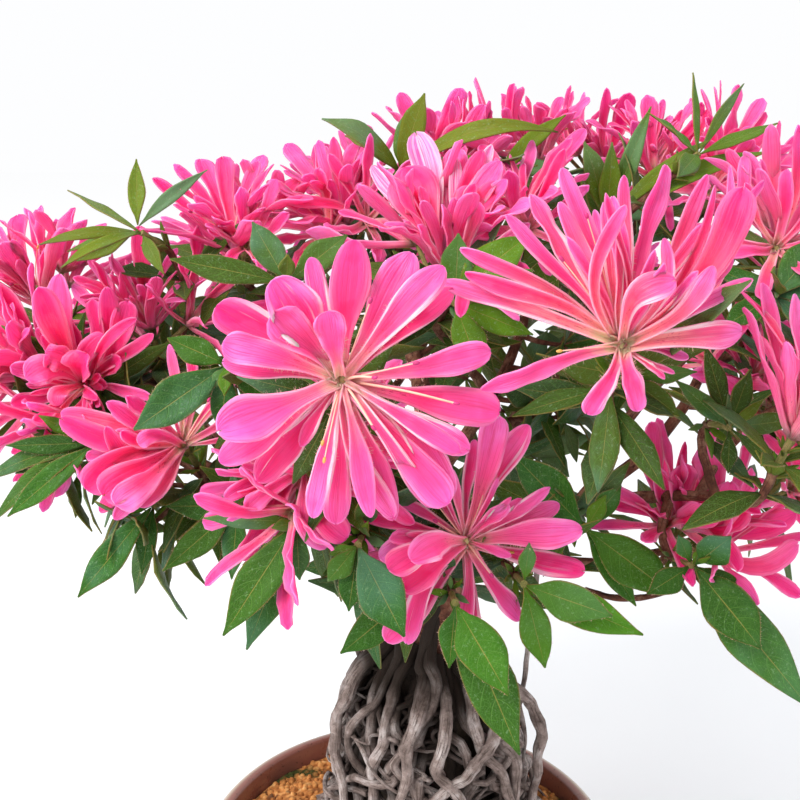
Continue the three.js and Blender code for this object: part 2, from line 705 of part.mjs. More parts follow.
const HEADS = [
  { name: "bloom_front_left", rows: FRONT_LEFT_PETALS,
    at: [-12, -70, 195.8], facing: FRONT, stem: [0.1, -0.75, 0.5] },
  { name: "bloom_front_right", rows: FRONT_RIGHT_PETALS,
    at: [36.3, -68, 201.4], facing: FRONT, stem: [0, -0.6, 0.8] },
  { name: "bloom_front_low", rows: FRONT_LOW_PETALS,
    at: [11, -52, 158.2], facing: FRONT, stem: [0.2, -0.9, 0.1] },
  { name: "bloom_left_low", rows: LEFT_LOW_PETALS,
    at: [-48.3, -30, 170.7], facing: FRONT, stem: [-0.2, -0.5, 0.7] },
  { name: "bloom_under_front_left", open: 68, reach: 25, petals: 9, seed: 11,
    at: [-20, -46, 172], facing: [0, -0.85, -0.35], stem: [-0.6, -0.5, 0.5] },
  { name: "bloom_left_middle", open: 52, reach: 20, petals: 10, seed: 12,
    at: [-73.7, -10, 179], facing: [-0.15, -0.9, 0.35] },
  { name: "bloom_left_edge", open: 38, reach: 27, petals: 8, seed: 13,
    at: [-86, -2, 179], facing: [-0.6, -0.45, 0.65] },
  { name: "bloom_left_high", open: 36, reach: 26, petals: 8, seed: 14,
    at: [-92, 18, 192], facing: [-0.25, -0.2, 0.95] },
  { name: "bloom_left_back", open: 38, reach: 24, petals: 7, seed: 15,
    at: [-63, 10, 188], facing: [-0.1, -0.3, 0.95] },
  { name: "bloom_top_left", open: 42, reach: 28, petals: 8, seed: 16,
    at: [-42.6, 18, 205.6], facing: [-0.1, -0.35, 0.93] },
  { name: "bloom_top_left_inner", open: 44, reach: 26, petals: 8, seed: 17,
    at: [-16, 26, 211], facing: [-0.3, -0.3, 0.9] },
  { name: "bloom_top_middle", open: 34, reach: 23, petals: 7, seed: 18,
    at: [6, 48, 224], facing: [0, -0.1, 1] },
  { name: "bloom_top_front", open: 32, reach: 27, petals: 7, seed: 19,
    at: [7, -22, 207.6], facing: [0.05, -0.3, 0.95] },
  { name: "bloom_top_inner", open: 46, reach: 23, petals: 8, seed: 20,
    at: [27, 8, 215], facing: [-0.15, -0.45, 0.88] },
  { name: "bloom_top_back", open: 26, reach: 22, petals: 6, seed: 21,
    at: [36, 52, 225], facing: [0, -0.05, 1] },
  { name: "bloom_top_right_back", open: 40, reach: 20, petals: 7, seed: 22,
    at: [56, 62, 222], facing: [0, -0.15, 1] },
  { name: "bloom_top_right_middle", open: 32, reach: 22, petals: 6, seed: 23,
    at: [64, 44, 224], facing: [0.05, -0.3, 0.95] },
  { name: "bloom_top_right", open: 42, reach: 27, petals: 9, seed: 24,
    at: [80, 36, 219], facing: [0.35, -0.3, 0.88] },
  { name: "bloom_right_high", open: 36, reach: 27, petals: 8, seed: 25,
    at: [81, -15, 212], facing: [0.05, -0.2, 0.97] },
  { name: "bloom_right_front", open: 34, reach: 31, petals: 8, seed: 26,
    at: [70, -62, 183], facing: [0.3, -0.15, 0.93] },
  { name: "bloom_right_low", open: 52, reach: 27, petals: 9, seed: 27,
    at: [61, -25, 150], facing: [0.3, -0.25, 0.9] },
  { name: "bloom_right_inner", open: 50, reach: 24, petals: 7, seed: 28,
    at: [80, -6, 178], facing: [0.1, -0.6, 0.75] },
  { name: "bloom_right_edge", open: 48, reach: 26, petals: 8, seed: 29,
    at: [94, -28, 188], facing: [0.75, -0.35, 0.55] },
  { name: "bloom_right_edge_low", open: 50, reach: 24, petals: 7, seed: 30,
    at: [92, -8, 150], facing: [0.75, -0.45, 0.3] },
  { name: "bloom_back_left", open: 52, reach: 26, petals: 9, seed: 31,
    at: [-48, 62, 196], facing: [-0.4, 0.6, 0.7] },
  { name: "bloom_back_left_low", open: 56, reach: 26, petals: 9, seed: 32,
    at: [-72, 50, 174], facing: [-0.7, 0.6, 0.35] },
  { name: "bloom_back_middle", open: 60, reach: 27, petals: 10, seed: 33,
    at: [12, 80, 190], facing: [0, 0.85, 0.5] },
  { name: "bloom_back_high", open: 46, reach: 24, petals: 8, seed: 34,
    at: [-12, 68, 212], facing: [-0.1, 0.5, 0.85] },
  { name: "bloom_back_right", open: 58, reach: 26, petals: 9, seed: 35,
    at: [62, 80, 178], facing: [0.45, 0.8, 0.35] },
  { name: "bloom_back_right_side", open: 54, reach: 26, petals: 8, seed: 36,
    at: [98, 32, 186], facing: [0.85, 0.3, 0.4] },
];

// Every other petal stands wider open than its neighbours.
function petalRule({ open, reach, petals, seed }) {
  const draw = dice(seed);
  const turn = 360 * draw();
  return Array.from({ length: petals }, (_, i) => {
    const clock = turn + (360 / petals) * (i + 0.3 * (draw() - 0.5));
    const opening = open * (i % 2 ? 0.74 : 1.06) + 12 * (draw() - 0.5);
    const length = reach * (0.84 + 0.26 * draw());
    const width = reach * (0.16 + 0.12 * draw());
    return [clock, opening, length, width, 6 + 34 * draw() * draw(), 30 * (draw() - 0.5)];
  });
}

const bladeOf = ([clock, open, length, width, curl, roll]) => ({ clock, open, length, width, curl, roll });

function headSolid(head) {
  const core = stalk(new THREE.Vector3(...head.at), headAxis(head), STALK);
  const rows = head.rows ?? petalRule(head);
  return layered(head, core, rows.map(bladeOf), head.rows ? PETAL : SHORT_PETAL);
}

// ---------------------------------------------------------------------------------- leafy shoots
//
// Leaves stand in whorls at the ends of the shoots. Leaf rows are like petal rows.

const SHOOTS = [
  {
    name: "leaves_left_low_edge",
    at: [-68, -26, 170], facing: FRONT,
    rows: [
      [237, 80, 25, 7, 20, 0],
      [250, 92, 21, 6, 20, 20],
      [268, 84, 20, 5.5, 20, -20],
      [150, 70, 15, 6, 20, 0],
    ],
  },
  {
    name: "leaves_left_below",
    at: [-55, -33, 158], facing: FRONT,
    rows: [
      [219, 82, 25, 7.2, 14, 0],
      [192, 96, 16, 6, 14, 0],
    ],
  },
  {
    name: "leaves_left_hanging",
    at: [-36, -38, 160], facing: FRONT,
    rows: [
      [229, 84, 21, 8, 12, 0],
      [186, 92, 16, 6, 10, 0],
      [270, 78, 15, 6, 10, 0],
    ],
  },
  {
    name: "leaves_low_front_left",
    at: [-22, -54, 163], facing: FRONT,
    rows: [
      [213, 82, 26, 9.5, 10, 0],
      [202, 92, 28, 9, 10, 0],
      [176, 72, 11, 5.5, 16, 0],
    ],
  },
  {
    name: "leaves_low_front",
    at: [-10, -61, 161], facing: FRONT,
    rows: [
      [152, 74, 19, 10, 16, 0],
      [188, 92, 13, 7, 10, 0],
    ],
  },
  {
    name: "leaves_low_middle",
    at: [0, -52, 146], facing: FRONT,
    rows: [
      [231, 80, 18, 8.5, 12, 0],
    ],
  },
  {
    name: "leaves_bottom",
    at: [8.5, -63, 150], facing: FRONT,
    rows: [
      [149, 70, 19, 10.5, 14, 0],
      [157, 92, 32, 11, 2, 0],
      [186, 80, 12, 6, 10, 0],
    ],
  },
  {
    name: "leaves_bottom_right",
    at: [22, -59, 152], facing: FRONT,
    rows: [
      [108, 70, 17.5, 8, 14, 0],
      [120, 84, 25, 8.5, 10, 0],
      [6, 70, 8.5, 4, 10, 0],
      [165, 100, 18, 7, 4, 0],
    ],
  },
  {
    name: "leaves_right_of_trunk",
    at: [37.5, -36, 154], facing: FRONT,
    rows: [
      [115, 78, 25, 12, 12, 0],
      [146, 96, 21, 6.5, 8, 0],
      [316, 92, 22, 10, 6, 0],
      [40, 84, 12, 6, 10, 0],
    ],
  },
  {
    name: "leaves_right_low_front",
    at: [58, -46, 150], facing: FRONT,
    rows: [
      [143, 66, 20, 10.5, 16, 0],
      [141, 84, 37, 13, 8, 0],
      [57, 70, 11, 8, 12, 0],
      [332, 60, 8, 4, 12, 0],
      [238, 84, 11, 6, 10, 0],
      [118, 100, 14, 5, 8, 0],
    ],
  },
  {
    name: "leaves_right_narrow",
    at: [62, -50, 181], facing: FRONT,
    rows: [
      [316, 72, 15, 4, 8, 0],
      [342, 80, 17, 4.5, 8, 0],
      [356, 70, 16, 4.5, 10, 0],
      [182, 84, 9, 4, 10, 0],
      [130, 80, 17, 4.5, 8, 0],
      [84, 92, 14, 5, 8, 0],
    ],
  },
  {
    name: "leaves_under_front_right",
    at: [40, -57, 193], facing: FRONT,
    rows: [
      [66, 78, 19, 6, 6, 0],
      [86, 84, 13, 4, 10, 0],
      [128, 74, 12, 5, 16, 0],
      [262, 92, 19, 7, 8, 0],
    ],
  },
  {
    name: "leaves_between_fronts",
    at: [9, -37, 203], facing: FRONT,
    rows: [
      [2, 66, 14, 7.8, 10, 0],
      [68, 70, 17, 7, 8, 0],
      [160, 84, 15, 8, 8, 0],
      [112, 90, 17, 7, 6, 0],
    ],
  },
  {
    name: "leaves_behind_front_left",
    at: [-24, -42, 208], facing: FRONT,
    rows: [
      [281, 76, 23, 6, 18, 0],
      [52, 84, 15, 6, 10, 0],
      [330, 92, 14, 6.5, 10, 0],
    ],
  },
  {
    name: "leaves_left_front",
    at: [-36, -44, 192], facing: FRONT,
    rows: [
      [234, 74, 22, 9.5, 12, 0],
      [294, 84, 13, 6, 14, 0],
      [186, 92, 14, 6, 10, 0],
      [124, 92, 12, 6, 8, 0],
    ],
  },
  {
    name: "leaves_left_top",
    at: [-62, 2, 212], facing: [-0.2, -0.7, 0.65],
    rows: [
      [352, 62, 16, 6, 10, 0],
      [290, 84, 28, 6, 20, 30],
      [262, 92, 22, 5.5, 24, 20],
      [48, 70, 21, 5, 20, 20],
      [232, 80, 16, 8, 14, 0],
      [140, 80, 15, 6, 14, 0],
    ],
  },
  { name: "leaves_left_side", open: 66, reach: 22, leaves: 5, seed: 52,
    at: [-84, 26, 180], facing: [-0.7, 0.1, 0.7] },
  {
    name: "leaves_top_left",
    at: [-2, 28, 224], facing: [-0.1, -0.3, 0.95],
    rows: [
      [10, 22, 16, 7, 16, 0],
      [292, 66, 24, 7, 40, 20],
      [70, 72, 27, 6.5, 44, 0],
      [160, 70, 18, 7, 30, 0],
    ],
  },
  {
    name: "leaves_top_middle",
    at: [22, 30, 222], facing: [0.1, -0.4, 0.92],
    rows: [
      [80, 74, 22, 7, 30, 0],
      [300, 60, 18, 6.5, 30, 0],
      [120, 78, 18, 8, 16, 0],
      [196, 80, 16, 7, 20, 0],
    ],
  },
  {
    name: "leaves_top_right",
    at: [48, 14, 213], facing: [0.05, -0.55, 0.83],
    rows: [
      [332, 60, 13, 6, 8, 0],
      [2, 50, 12, 5.5, 8, 0],
      [28, 70, 22, 6, 10, 20],
      [74, 78, 18, 7, 16, 0],
      [282, 80, 16, 7, 20, 0],
    ],
  },
  {
    name: "leaves_top_right_back",
    at: [66, 2, 230], facing: [0.2, -0.5, 0.85],
    rows: [
      [24, 48, 23, 5.5, 6, 30],
      [60, 62, 32, 4.5, 16, 40],
      [78, 74, 24, 5, 10, 20],
      [316, 66, 15, 7, 14, 0],
      [230, 78, 16, 7, 14, 0],
    ],
  },
  {
    name: "leaves_right_top",
    at: [74, -34, 204], facing: [0.1, -0.7, 0.7],
    rows: [
      [240, 82, 15, 6, 10, 0],
      [96, 74, 20, 9, 20, 0],
      [300, 84, 14, 6, 8, 0],
      [150, 84, 18, 8, 12, 0],
    ],
  },
  { name: "leaves_right_side", open: 68, reach: 23, leaves: 6, seed: 58,
    at: [98, 6, 168], facing: [0.9, -0.1, 0.4] },
  { name: "leaves_back_left", open: 68, reach: 23, leaves: 6, seed: 59,
    at: [-66, 62, 184], facing: [-0.5, 0.7, 0.5] },
  { name: "leaves_back_middle", open: 70, reach: 23, leaves: 6, seed: 60,
    at: [-20, 72, 178], facing: [-0.1, 0.8, 0.5] },
  { name: "leaves_back_right", open: 66, reach: 23, leaves: 6, seed: 61,
    at: [40, 84, 200], facing: [0.2, 0.7, 0.7] },
  { name: "leaves_back_low", open: 70, reach: 22, leaves: 5, seed: 62,
    at: [34, 66, 158], facing: [0.3, 0.8, 0.2] },
];

function leafRule({ open, reach, leaves, seed }) {
  const draw = dice(seed);
  const turn = 360 * draw();
  return Array.from({ length: leaves }, (_, i) => {
    const clock = turn + (360 / leaves) * (i + 0.4 * (draw() - 0.5));
    const length = reach * (0.7 + 0.4 * draw());
    return [clock, open + 24 * (draw() - 0.5), length, length * 0.33, 10 + 24 * draw(), 0];
  });
}

function shootSolid(shoot) {
  const core = stalk(new THREE.Vector3(...shoot.at), stemAxis(shoot), STEM);
  const rows = shoot.rows ?? leafRule(shoot);
  const longest = Math.max(...rows.map((row) => bladeOf(row).length));
  return layered(shoot, core, rows.map(bladeOf), longest < LEAF.from ? SHORT_LEAF : LEAF);
}

// A shoot that hangs its leaves towards the front still grows up and out of its branch.
function stemAxis({ at, facing }) {
  const outwards = new THREE.Vector3(at[0], at[1], 0).normalize();
  return new THREE.Vector3(...facing).addScaledVector(outwards, 0.6).normalize();
}

// ---------------------------------------------------------------------------------- assembly

const headAxis = (head) => new THREE.Vector3(...(head.stem ?? head.facing)).normalize();

// The foot of each stalk and stem, a clearance away from the twig that it grows from, and the room
// that is kept free for it.
function footOf({ name, at }, axis, { length, sides }, { hub }) {
  const facing = axis.toArray();
  const radius = hub + ROOM.around;
  const room = { length: length + ROOM.beyond, throat: radius, base: radius, sides };
  return { name, facing, room, foot: pointBefore(at, facing, length + 1.3 * GAP) };
}

const FEET = [
  ...HEADS.map((head) => footOf(head, headAxis(head), STALK, PETAL)),
  ...SHOOTS.map((shoot) => footOf(shoot, stemAxis(shoot), STEM, LEAF)),
];

const colours = {
  pot: { color: 0x6b3a2c, roughness: 0.35 },
  soil: { color: 0xb4682e, roughness: 0.95 },
  wood: { color: 0x6f6059, roughness: 0.9 },
  petal: { color: 0xf2467f, roughness: 0.55 },
  leaf: { color: 0x3d7a32, roughness: 0.45 },
};
const materials = Object.fromEntries(
  Object.entries(colours).map(([name, look]) => [name, new THREE.MeshStandardMaterial(look)]),
);

const bonsai = new THREE.Group();

function addPiece(name, solid, material) {
  const mesh = new THREE.Mesh(geometryOf(solid), material);
  mesh.name = name;
  bonsai.add(mesh);
}

addPiece("pot", keep("pot", potSolid()), materials.pot);
addPiece("soil", keep("soil", soilSolid()), materials.soil);
addPiece("tree", keep("tree", treeSolid()), materials.wood);

for (const { name, foot, facing, room } of FEET) {
  const axis = new THREE.Vector3(...facing);
  const top = new THREE.Vector3(...foot).addScaledVector(axis, room.length);
  keep(name, stalk(top, axis, room));
}
for (const head of HEADS) addPiece(head.name, keep(head.name, headSolid(head)), materials.petal);
for (const shoot of SHOOTS) addPiece(shoot.name, keep(shoot.name, shootSolid(shoot)), materials.leaf);

// The origin is the middle of the footprint.
const footprint = new THREE.Box3().setFromObject(bonsai);
const middle = footprint.getCenter(new THREE.Vector3());
bonsai.position.set(-middle.x, -middle.y, 0);

export default bonsai;
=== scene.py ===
# %% [markdown]
# # A satsuki azalea bonsai with exposed roots
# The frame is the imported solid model: a pot, its soil, one tree, thirty flower heads and
# twenty-seven leafy shoots. This file dresses that frame. Every piece below keeps the place and
# the form of the solid that it stands for, and adds what a solid model leaves out.

# %% Open the frame
import math

import bpy
import numpy as np
from mathutils import Matrix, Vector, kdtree


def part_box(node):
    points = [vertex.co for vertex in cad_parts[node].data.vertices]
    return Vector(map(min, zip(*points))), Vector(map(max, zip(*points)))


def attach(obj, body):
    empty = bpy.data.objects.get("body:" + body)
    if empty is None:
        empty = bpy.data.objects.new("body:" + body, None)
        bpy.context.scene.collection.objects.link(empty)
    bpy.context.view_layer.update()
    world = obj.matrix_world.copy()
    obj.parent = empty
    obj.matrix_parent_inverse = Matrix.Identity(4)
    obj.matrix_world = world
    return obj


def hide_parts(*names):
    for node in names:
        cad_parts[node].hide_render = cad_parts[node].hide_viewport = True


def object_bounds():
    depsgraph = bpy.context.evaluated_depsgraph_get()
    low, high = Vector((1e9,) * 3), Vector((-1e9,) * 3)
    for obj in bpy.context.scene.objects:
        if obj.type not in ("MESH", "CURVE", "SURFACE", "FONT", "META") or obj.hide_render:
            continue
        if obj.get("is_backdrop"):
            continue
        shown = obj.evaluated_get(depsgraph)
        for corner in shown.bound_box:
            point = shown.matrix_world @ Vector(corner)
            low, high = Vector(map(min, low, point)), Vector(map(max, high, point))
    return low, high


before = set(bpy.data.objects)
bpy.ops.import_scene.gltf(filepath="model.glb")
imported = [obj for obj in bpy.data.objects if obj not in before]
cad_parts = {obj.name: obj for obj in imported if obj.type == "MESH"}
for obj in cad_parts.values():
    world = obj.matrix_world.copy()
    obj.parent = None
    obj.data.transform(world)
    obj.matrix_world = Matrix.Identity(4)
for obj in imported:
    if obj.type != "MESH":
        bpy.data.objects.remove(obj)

cad_low, cad_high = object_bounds()
MM = 0.001
pot_low, pot_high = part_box("pot")
POT_AXIS = np.array([(pot_low.x + pot_high.x) / 2, (pot_low.y + pot_high.y) / 2, 0.0])
print("the pot's axis stands at", POT_AXIS.round(4), "with", len(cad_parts), "nodes round it")


# %% [markdown]
# The plant is laid out in millimetres round the pot's axis, because twigs and petals are easier to
# think about in millimetres. One function turns such points into the frame's metres. A second one
# gives random draws that are the same each time, so that the tree never changes between runs.

# %% Small tools
def in_frame(points):
    return np.asarray(points, float) * MM + POT_AXIS


def on_plant(points):
    return (np.asarray(points, float) - POT_AXIS) / MM


def unit(vector):
    vector = np.asarray(vector, float)
    return vector / np.linalg.norm(vector, axis=-1, keepdims=True)


WORD = 0xFFFFFFFF
TURN = 6.3  # radians, just over a full turn


def dice(seed):
    state = seed & WORD

    def draw():
        nonlocal state
        state = (state + 0x6D2B79F5) & WORD
        mixed = ((state ^ (state >> 15)) * (state | 1)) & WORD
        mixed = ((mixed + (mixed ^ (mixed >> 7)) * (mixed | 61)) ^ mixed) & WORD
        return (mixed ^ (mixed >> 14)) / 2**32

    return draw


def jitter(draw, *shape):
    """An array of draws between minus a half and a half."""
    return np.array([draw() - 0.5 for _ in range(math.prod(shape))]).reshape(shape)


def smooth(start, end, value):
    share = np.clip((np.asarray(value, float) - start) / (end - start), 0, 1)
    return share * share * (3 - 2 * share)


def new_object(name, data):
    item = bpy.data.objects.new(name, data)
    bpy.context.scene.collection.objects.link(item)
    return item


def new_mesh(name, points, faces):
    mesh = bpy.data.meshes.new(name)
    mesh.from_pydata(in_frame(points).tolist(), [], faces)
    return mesh


print("the plant's own origin is at", in_frame((0, 0, 0)).round(4))


# %% [markdown]
# The camera stands a little above the flowers and looks down at them, as a visitor does at a
# bonsai show. It is placed first, because everything else is judged through it. A lens of about
# 50 mm keeps the near flowers from swelling.

# %% Camera
CAMERA_AT = (-2, -254, 245)
LOOKS_DOWN = 16
camera_data = bpy.data.cameras.new("show_camera")
camera_data.lens = 49.5
camera_data.sensor_width = 36
camera_data.clip_start = 0.01
camera = new_object("show_camera", camera_data)
camera.location = in_frame(CAMERA_AT)
camera.rotation_euler = (math.radians(90 - LOOKS_DOWN), 0, 0)
bpy.context.scene.camera = camera
print("the camera looks down by", LOOKS_DOWN, "degrees")

# %% [markdown]
# Studio light for flowers is broad and soft, so that thin petals glow and no hard shadow falls on
# their neighbours. A bright even sky does most of it. One large panel from the upper left gives
# the petals their form, and a weaker one at either side opens the shadows.

# %% Light and floor
scene = bpy.context.scene
scene.view_settings.view_transform = "Standard"
scene.view_settings.look = "None"
world = bpy.data.worlds.new("soft_sky")
scene.world = world
world.use_nodes = True
sky = world.node_tree.nodes["Background"]
sky.inputs["Color"].default_value = (0.985, 0.99, 1.0, 1)
sky.inputs["Strength"].default_value = 1.0


def panel(name, at, towards, size, power, colour):
    data = bpy.data.lights.new(name, "AREA")
    data.shape = "DISK"
    data.size = size
    data.energy = power
    data.color = colour
    light = new_object(name, data)
    light.location = in_frame(at)
    axis = unit(np.array(at, float) - np.array(towards, float))
    light.rotation_euler = (math.acos(axis[2]), 0, math.atan2(axis[0], -axis[1]))


panel("key_panel", (-380, -420, 760), (0, 0, 160), 0.4, 7.4, (1.0, 0.985, 0.96))
panel("left_panel", (-640, -260, 300), (-60, 0, 180), 0.6, 1.8, (1.0, 0.98, 0.97))
panel("side_panel", (620, -260, 420), (0, 0, 160), 0.6, 1.0, (0.95, 0.98, 1.0))

FLOOR_REACH = 3.0
floor_mesh = bpy.data.meshes.new("studio_floor")
corners = [(x, y, 0) for x, y in ((-1, -1), (1, -1), (1, 1), (-1, 1))]
floor_mesh.from_pydata((np.array(corners) * FLOOR_REACH).tolist(), [], [(0, 1, 2, 3)])
floor = new_object("studio_floor", floor_mesh)
floor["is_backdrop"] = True
print("three panels and a floor", 2 * FLOOR_REACH, "m across")

# %% [markdown]
# Materials are built from nodes in code, and a small builder keeps that readable: each call adds
# one node, links what it is given, and returns its output. A plain number or colour is set
# straight on the socket.

# %% A builder for materials
class Signal:
    """A value from a node. Each sum, difference or product that it is part of adds a node."""

    def __init__(self, builder, socket):
        self.builder, self.socket = builder, socket

    def __add__(self, other):
        return self.builder.math("ADD", self, other)

    def __sub__(self, other):
        return self.builder.math("SUBTRACT", self, other)

    def __rsub__(self, other):
        return self.builder.math("SUBTRACT", other, self)

    def __mul__(self, other):
        return self.builder.math("MULTIPLY", self, other)

    def rise(self, start, end):
        """Nothing below the start, one above the end, and a smooth step between."""
        limits = {"Value": self, "From Min": start, "From Max": end}
        return self.builder.add("ShaderNodeMapRange", limits, interpolation_type="SMOOTHSTEP")


class Builder:
    tree = None

    def node(self, kind, inputs=(), **settings):
        node = self.tree.nodes.new(kind)
        for key, value in settings.items():
            setattr(node, key, value)
        for key, value in dict(inputs).items():
            self.give(node.inputs[key], value)
        return node

    def add(self, kind, inputs=(), output=0, **settings):
        return Signal(self, self.node(kind, inputs, **settings).outputs[output])

    def give(self, socket, value):
        if isinstance(value, Signal):
            self.tree.links.new(value.socket, socket)
        elif isinstance(value, tuple) and len(value) == 3 and socket.type == "RGBA":
            socket.default_value = (*value, 1)
        else:
            socket.default_value = value

    def math(self, operation, *values):
        return self.add("ShaderNodeMath", enumerate(values), operation=operation)

    def vector(self, operation, *values, output=0, **inputs):
        values = {**dict(enumerate(values)), **inputs}
        return self.add("ShaderNodeVectorMath", values, output, operation=operation)

    def join(self, x=0.0, y=0.0, z=0.0):
        return self.add("ShaderNodeCombineXYZ", {"X": x, "Y": y, "Z": z})

    def parts(self, whole, kind="ShaderNodeSeparateXYZ"):
        return [Signal(self, socket) for socket in self.node(kind, {0: whole}).outputs[:3]]


print("values from nodes can be added, taken away and multiplied")

# %% [markdown]
# A finish is a builder for one material. It knows the steps that come back in all of them: mixing
# two colours, a ramp of colours, noise, relief, and where a point lies on its petal or leaf.

# %% Finishes
class Finish(Builder):
    def __init__(self, name):
        self.material = bpy.data.materials.new(name)
        self.material.use_nodes = True
        self.tree = self.material.node_tree
        self.shader = self.tree.nodes["Principled BSDF"]
        self.place = self.add("ShaderNodeTexCoord", output="Object")

    def shade(self, **values):
        for key, value in values.items():
            self.give(self.shader.inputs[key.replace("_", " ")], value)
        return self.material

    def mix(self, share, first, second, blend="MIX"):
        inputs = {0: share, 6: first, 7: second}
        return self.add("ShaderNodeMix", inputs, 2, data_type="RGBA", blend_type=blend)

    def ramp(self, share, *stops):
        ramp = self.add("ShaderNodeValToRGB", {0: share})
        elements = ramp.socket.node.color_ramp.elements
        while len(elements) < len(stops):
            elements.new(0.5)
        for element, (position, colour) in zip(elements, stops):
            element.position = position
            element.color = (*colour, 1)
        return ramp

    def noise(self, where, scale, detail=3.0, roughness=0.55, distortion=0.0):
        inputs = {"Vector": where, "Scale": scale, "Detail": detail, "Roughness": roughness}
        return self.add("ShaderNodeTexNoise", {**inputs, "Distortion": distortion})

    def relief(self, height, distance, strength):
        inputs = {"Height": height, "Distance": distance, "Strength": strength}
        self.give(self.shader.inputs["Normal"], self.add("ShaderNodeBump", inputs))

    def blade(self):
        """Where a point lies across and down its blade, how near an edge, and the blade's look."""
        across, down, _ = self.parts(self.add("ShaderNodeUVMap", uv_map="blade"))
        edge = self.math("ABSOLUTE", across - 0.5) * 2
        look = self.node("ShaderNodeAttribute", attribute_name="look")
        colour, own = Signal(self, look.outputs["Color"]), Signal(self, look.outputs["Alpha"])
        return (across, down, edge, own, *self.parts(colour, "ShaderNodeSeparateColor"))

    def away_from(self, centre):
        """How far a point stands from the upright axis through a centre."""
        centred = self.vector("SUBTRACT", self.place, tuple(centre))
        flat = self.vector("MULTIPLY", centred, (1.0, 1.0, 0.0))
        return self.vector("LENGTH", flat, output="Value")


floor_finish = Finish("studio_floor")
away = floor_finish.vector("LENGTH", floor_finish.place, output="Value")
# Painted shade: the floor is greyer near the pot and fades to white further out.
pale = floor_finish.mix(away.rise(0.3, 1.4), (0.85, 0.865, 0.885), (0.985, 0.985, 0.985))
floor.data.materials.append(floor_finish.shade(Base_Color=pale, Roughness=0.95, Specular_IOR_Level=0.0))
print("the floor is a pale grey that fades to white")


# %% [markdown]
# ## How petals and leaves lie
# A petal or a leaf is a strap that leaves a hub. Its place is told as on a clock face: the clock
# angle round the hub's axis, and the angle that it opens by. Then it bends outwards by its curl.
# The solid model follows the same rule, so a finer blade that follows it stays in its solid.

# %% The rule of a strap
class Strap:
    def __init__(self, centre, facing, row, hub):
        self.clock, self.open, self.length, self.width, self.curl, *roll = row
        self.roll = roll[0] if roll else 0
        self.centre = np.asarray(centre, float)
        self.hub = hub
        self.axis = unit(facing)
        above = np.array((0, 1.0, 0) if abs(self.axis[2]) > 0.97 else (0, 0, 1.0))
        noon = unit(above - self.axis * (above @ self.axis))
        three = np.cross(noon, self.axis)
        turn = math.radians(self.clock)
        self.outwards = noon * math.cos(turn) + three * math.sin(turn)
        self.clockwise = np.cross(self.outwards, self.axis)

    def along(self, shares):
        """The middle, the sideways and the face direction at shares of the strap's length."""
        shares = np.asarray(shares, float)[:, None]
        start = math.radians(self.open)
        bend = math.radians(1 if abs(self.curl) < 1 else self.curl)
        turned = start + bend * shares
        reach = (self.length - self.hub) / bend
        out = self.hub + reach * (math.cos(start) - np.cos(turned))
        up = reach * (np.sin(turned) - math.sin(start))
        middle = self.centre + self.axis * up + self.outwards * out
        flat = self.axis * np.sin(turned) - self.outwards * np.cos(turned)
        roll = math.radians(self.roll)
        side = self.clockwise * math.cos(roll) - flat * math.sin(roll)
        face = flat * math.cos(roll) + self.clockwise * math.sin(roll)
        return middle, side, face


class Reach:
    """A strap laid from one point to another, bowed towards its face and leaning to one side."""

    def __init__(self, start, end, faces, width, bow, lean=0.0):
        self.centre, self.way = np.asarray(start, float), np.subtract(end, start)
        self.length, self.width = np.linalg.norm(self.way), width
        self.axis, self.outwards, self.hub = unit(faces), unit(self.way), 0.5
        self.lift = self.length * (self.axis * bow + unit(np.cross(self.way, self.axis)) * lean)

    def along(self, shares):
        turn = math.pi * np.asarray(shares, float)[:, None]
        middle = self.centre + self.way * turn / math.pi + self.lift * np.sin(turn)
        tangent = unit(self.way + self.lift * math.pi * np.cos(turn))
        side = unit(np.cross(tangent, self.axis))
        return middle, side, np.cross(side, tangent)


PLATE = 0.7  # thickness of the solid model's blades
NARROWEST = 0.75
LIFT = 1.3  # from one layer of a whorl to the next
MATCH = 0.02  # how near a corner of the solid has to lie
# How a crowded blade may have been turned, tilted and cut back in the solid.
WAYS = (
    (0, 0, 1), (7, 0, 1), (-7, 0, 1), (0, 9, 1), (0, -9, 1), (12, 8, 0.92), (-12, 8, 0.92),
    (12, -12, 0.92), (-12, -12, 0.92), (0, 16, 0.8), (0, -18, 0.8), (20, 0, 0.75), (-20, 0, 0.75),
)


def found_straps(node, at, facing, rows, hub, layers, tip_width):
    """The straps of a node: each row, turned, tilted or cut back in the way that its solid was."""
    vertices = on_plant([vertex.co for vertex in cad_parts[node].data.vertices])
    tree = kdtree.KDTree(len(vertices))
    for index, vertex in enumerate(vertices):
        tree.insert(vertex, index)
    tree.balance()
    straps = []
    for clock, opening, length, *rest in rows:
        for turn, tilt, share in WAYS:
            way = (clock + turn, opening + tilt, length * share, *rest)
            fits = []
            for layer in range(layers + 4):
                strap = Strap(np.add(at, unit(facing) * LIFT * layer), facing, way, hub)
                middle, side, face = (part[0] for part in strap.along([1]))
                wide = max(strap.width * tip_width, NARROWEST) / 2
                corners = [(x * wide, z * PLATE / 2) for x in (-1, 1) for z in (-1, 1)]
                misses = [tree.find(middle + side * x + face * z)[2] for x, z in corners]
                fits.append((max(misses), strap))
            miss, strap = min(fits, key=lambda fit: fit[0])
            if miss < MATCH:
                straps.append(strap)
                break
    return straps


print("a crowded blade is sought in", len(WAYS), "ways")


# %% [markdown]
# Where each head and shoot stands is told by its hub and the way it faces. The flowers that face
# the viewer have their petals named one by one. The others follow a rule, from how far they open,
# how long their petals are, and how many there are.

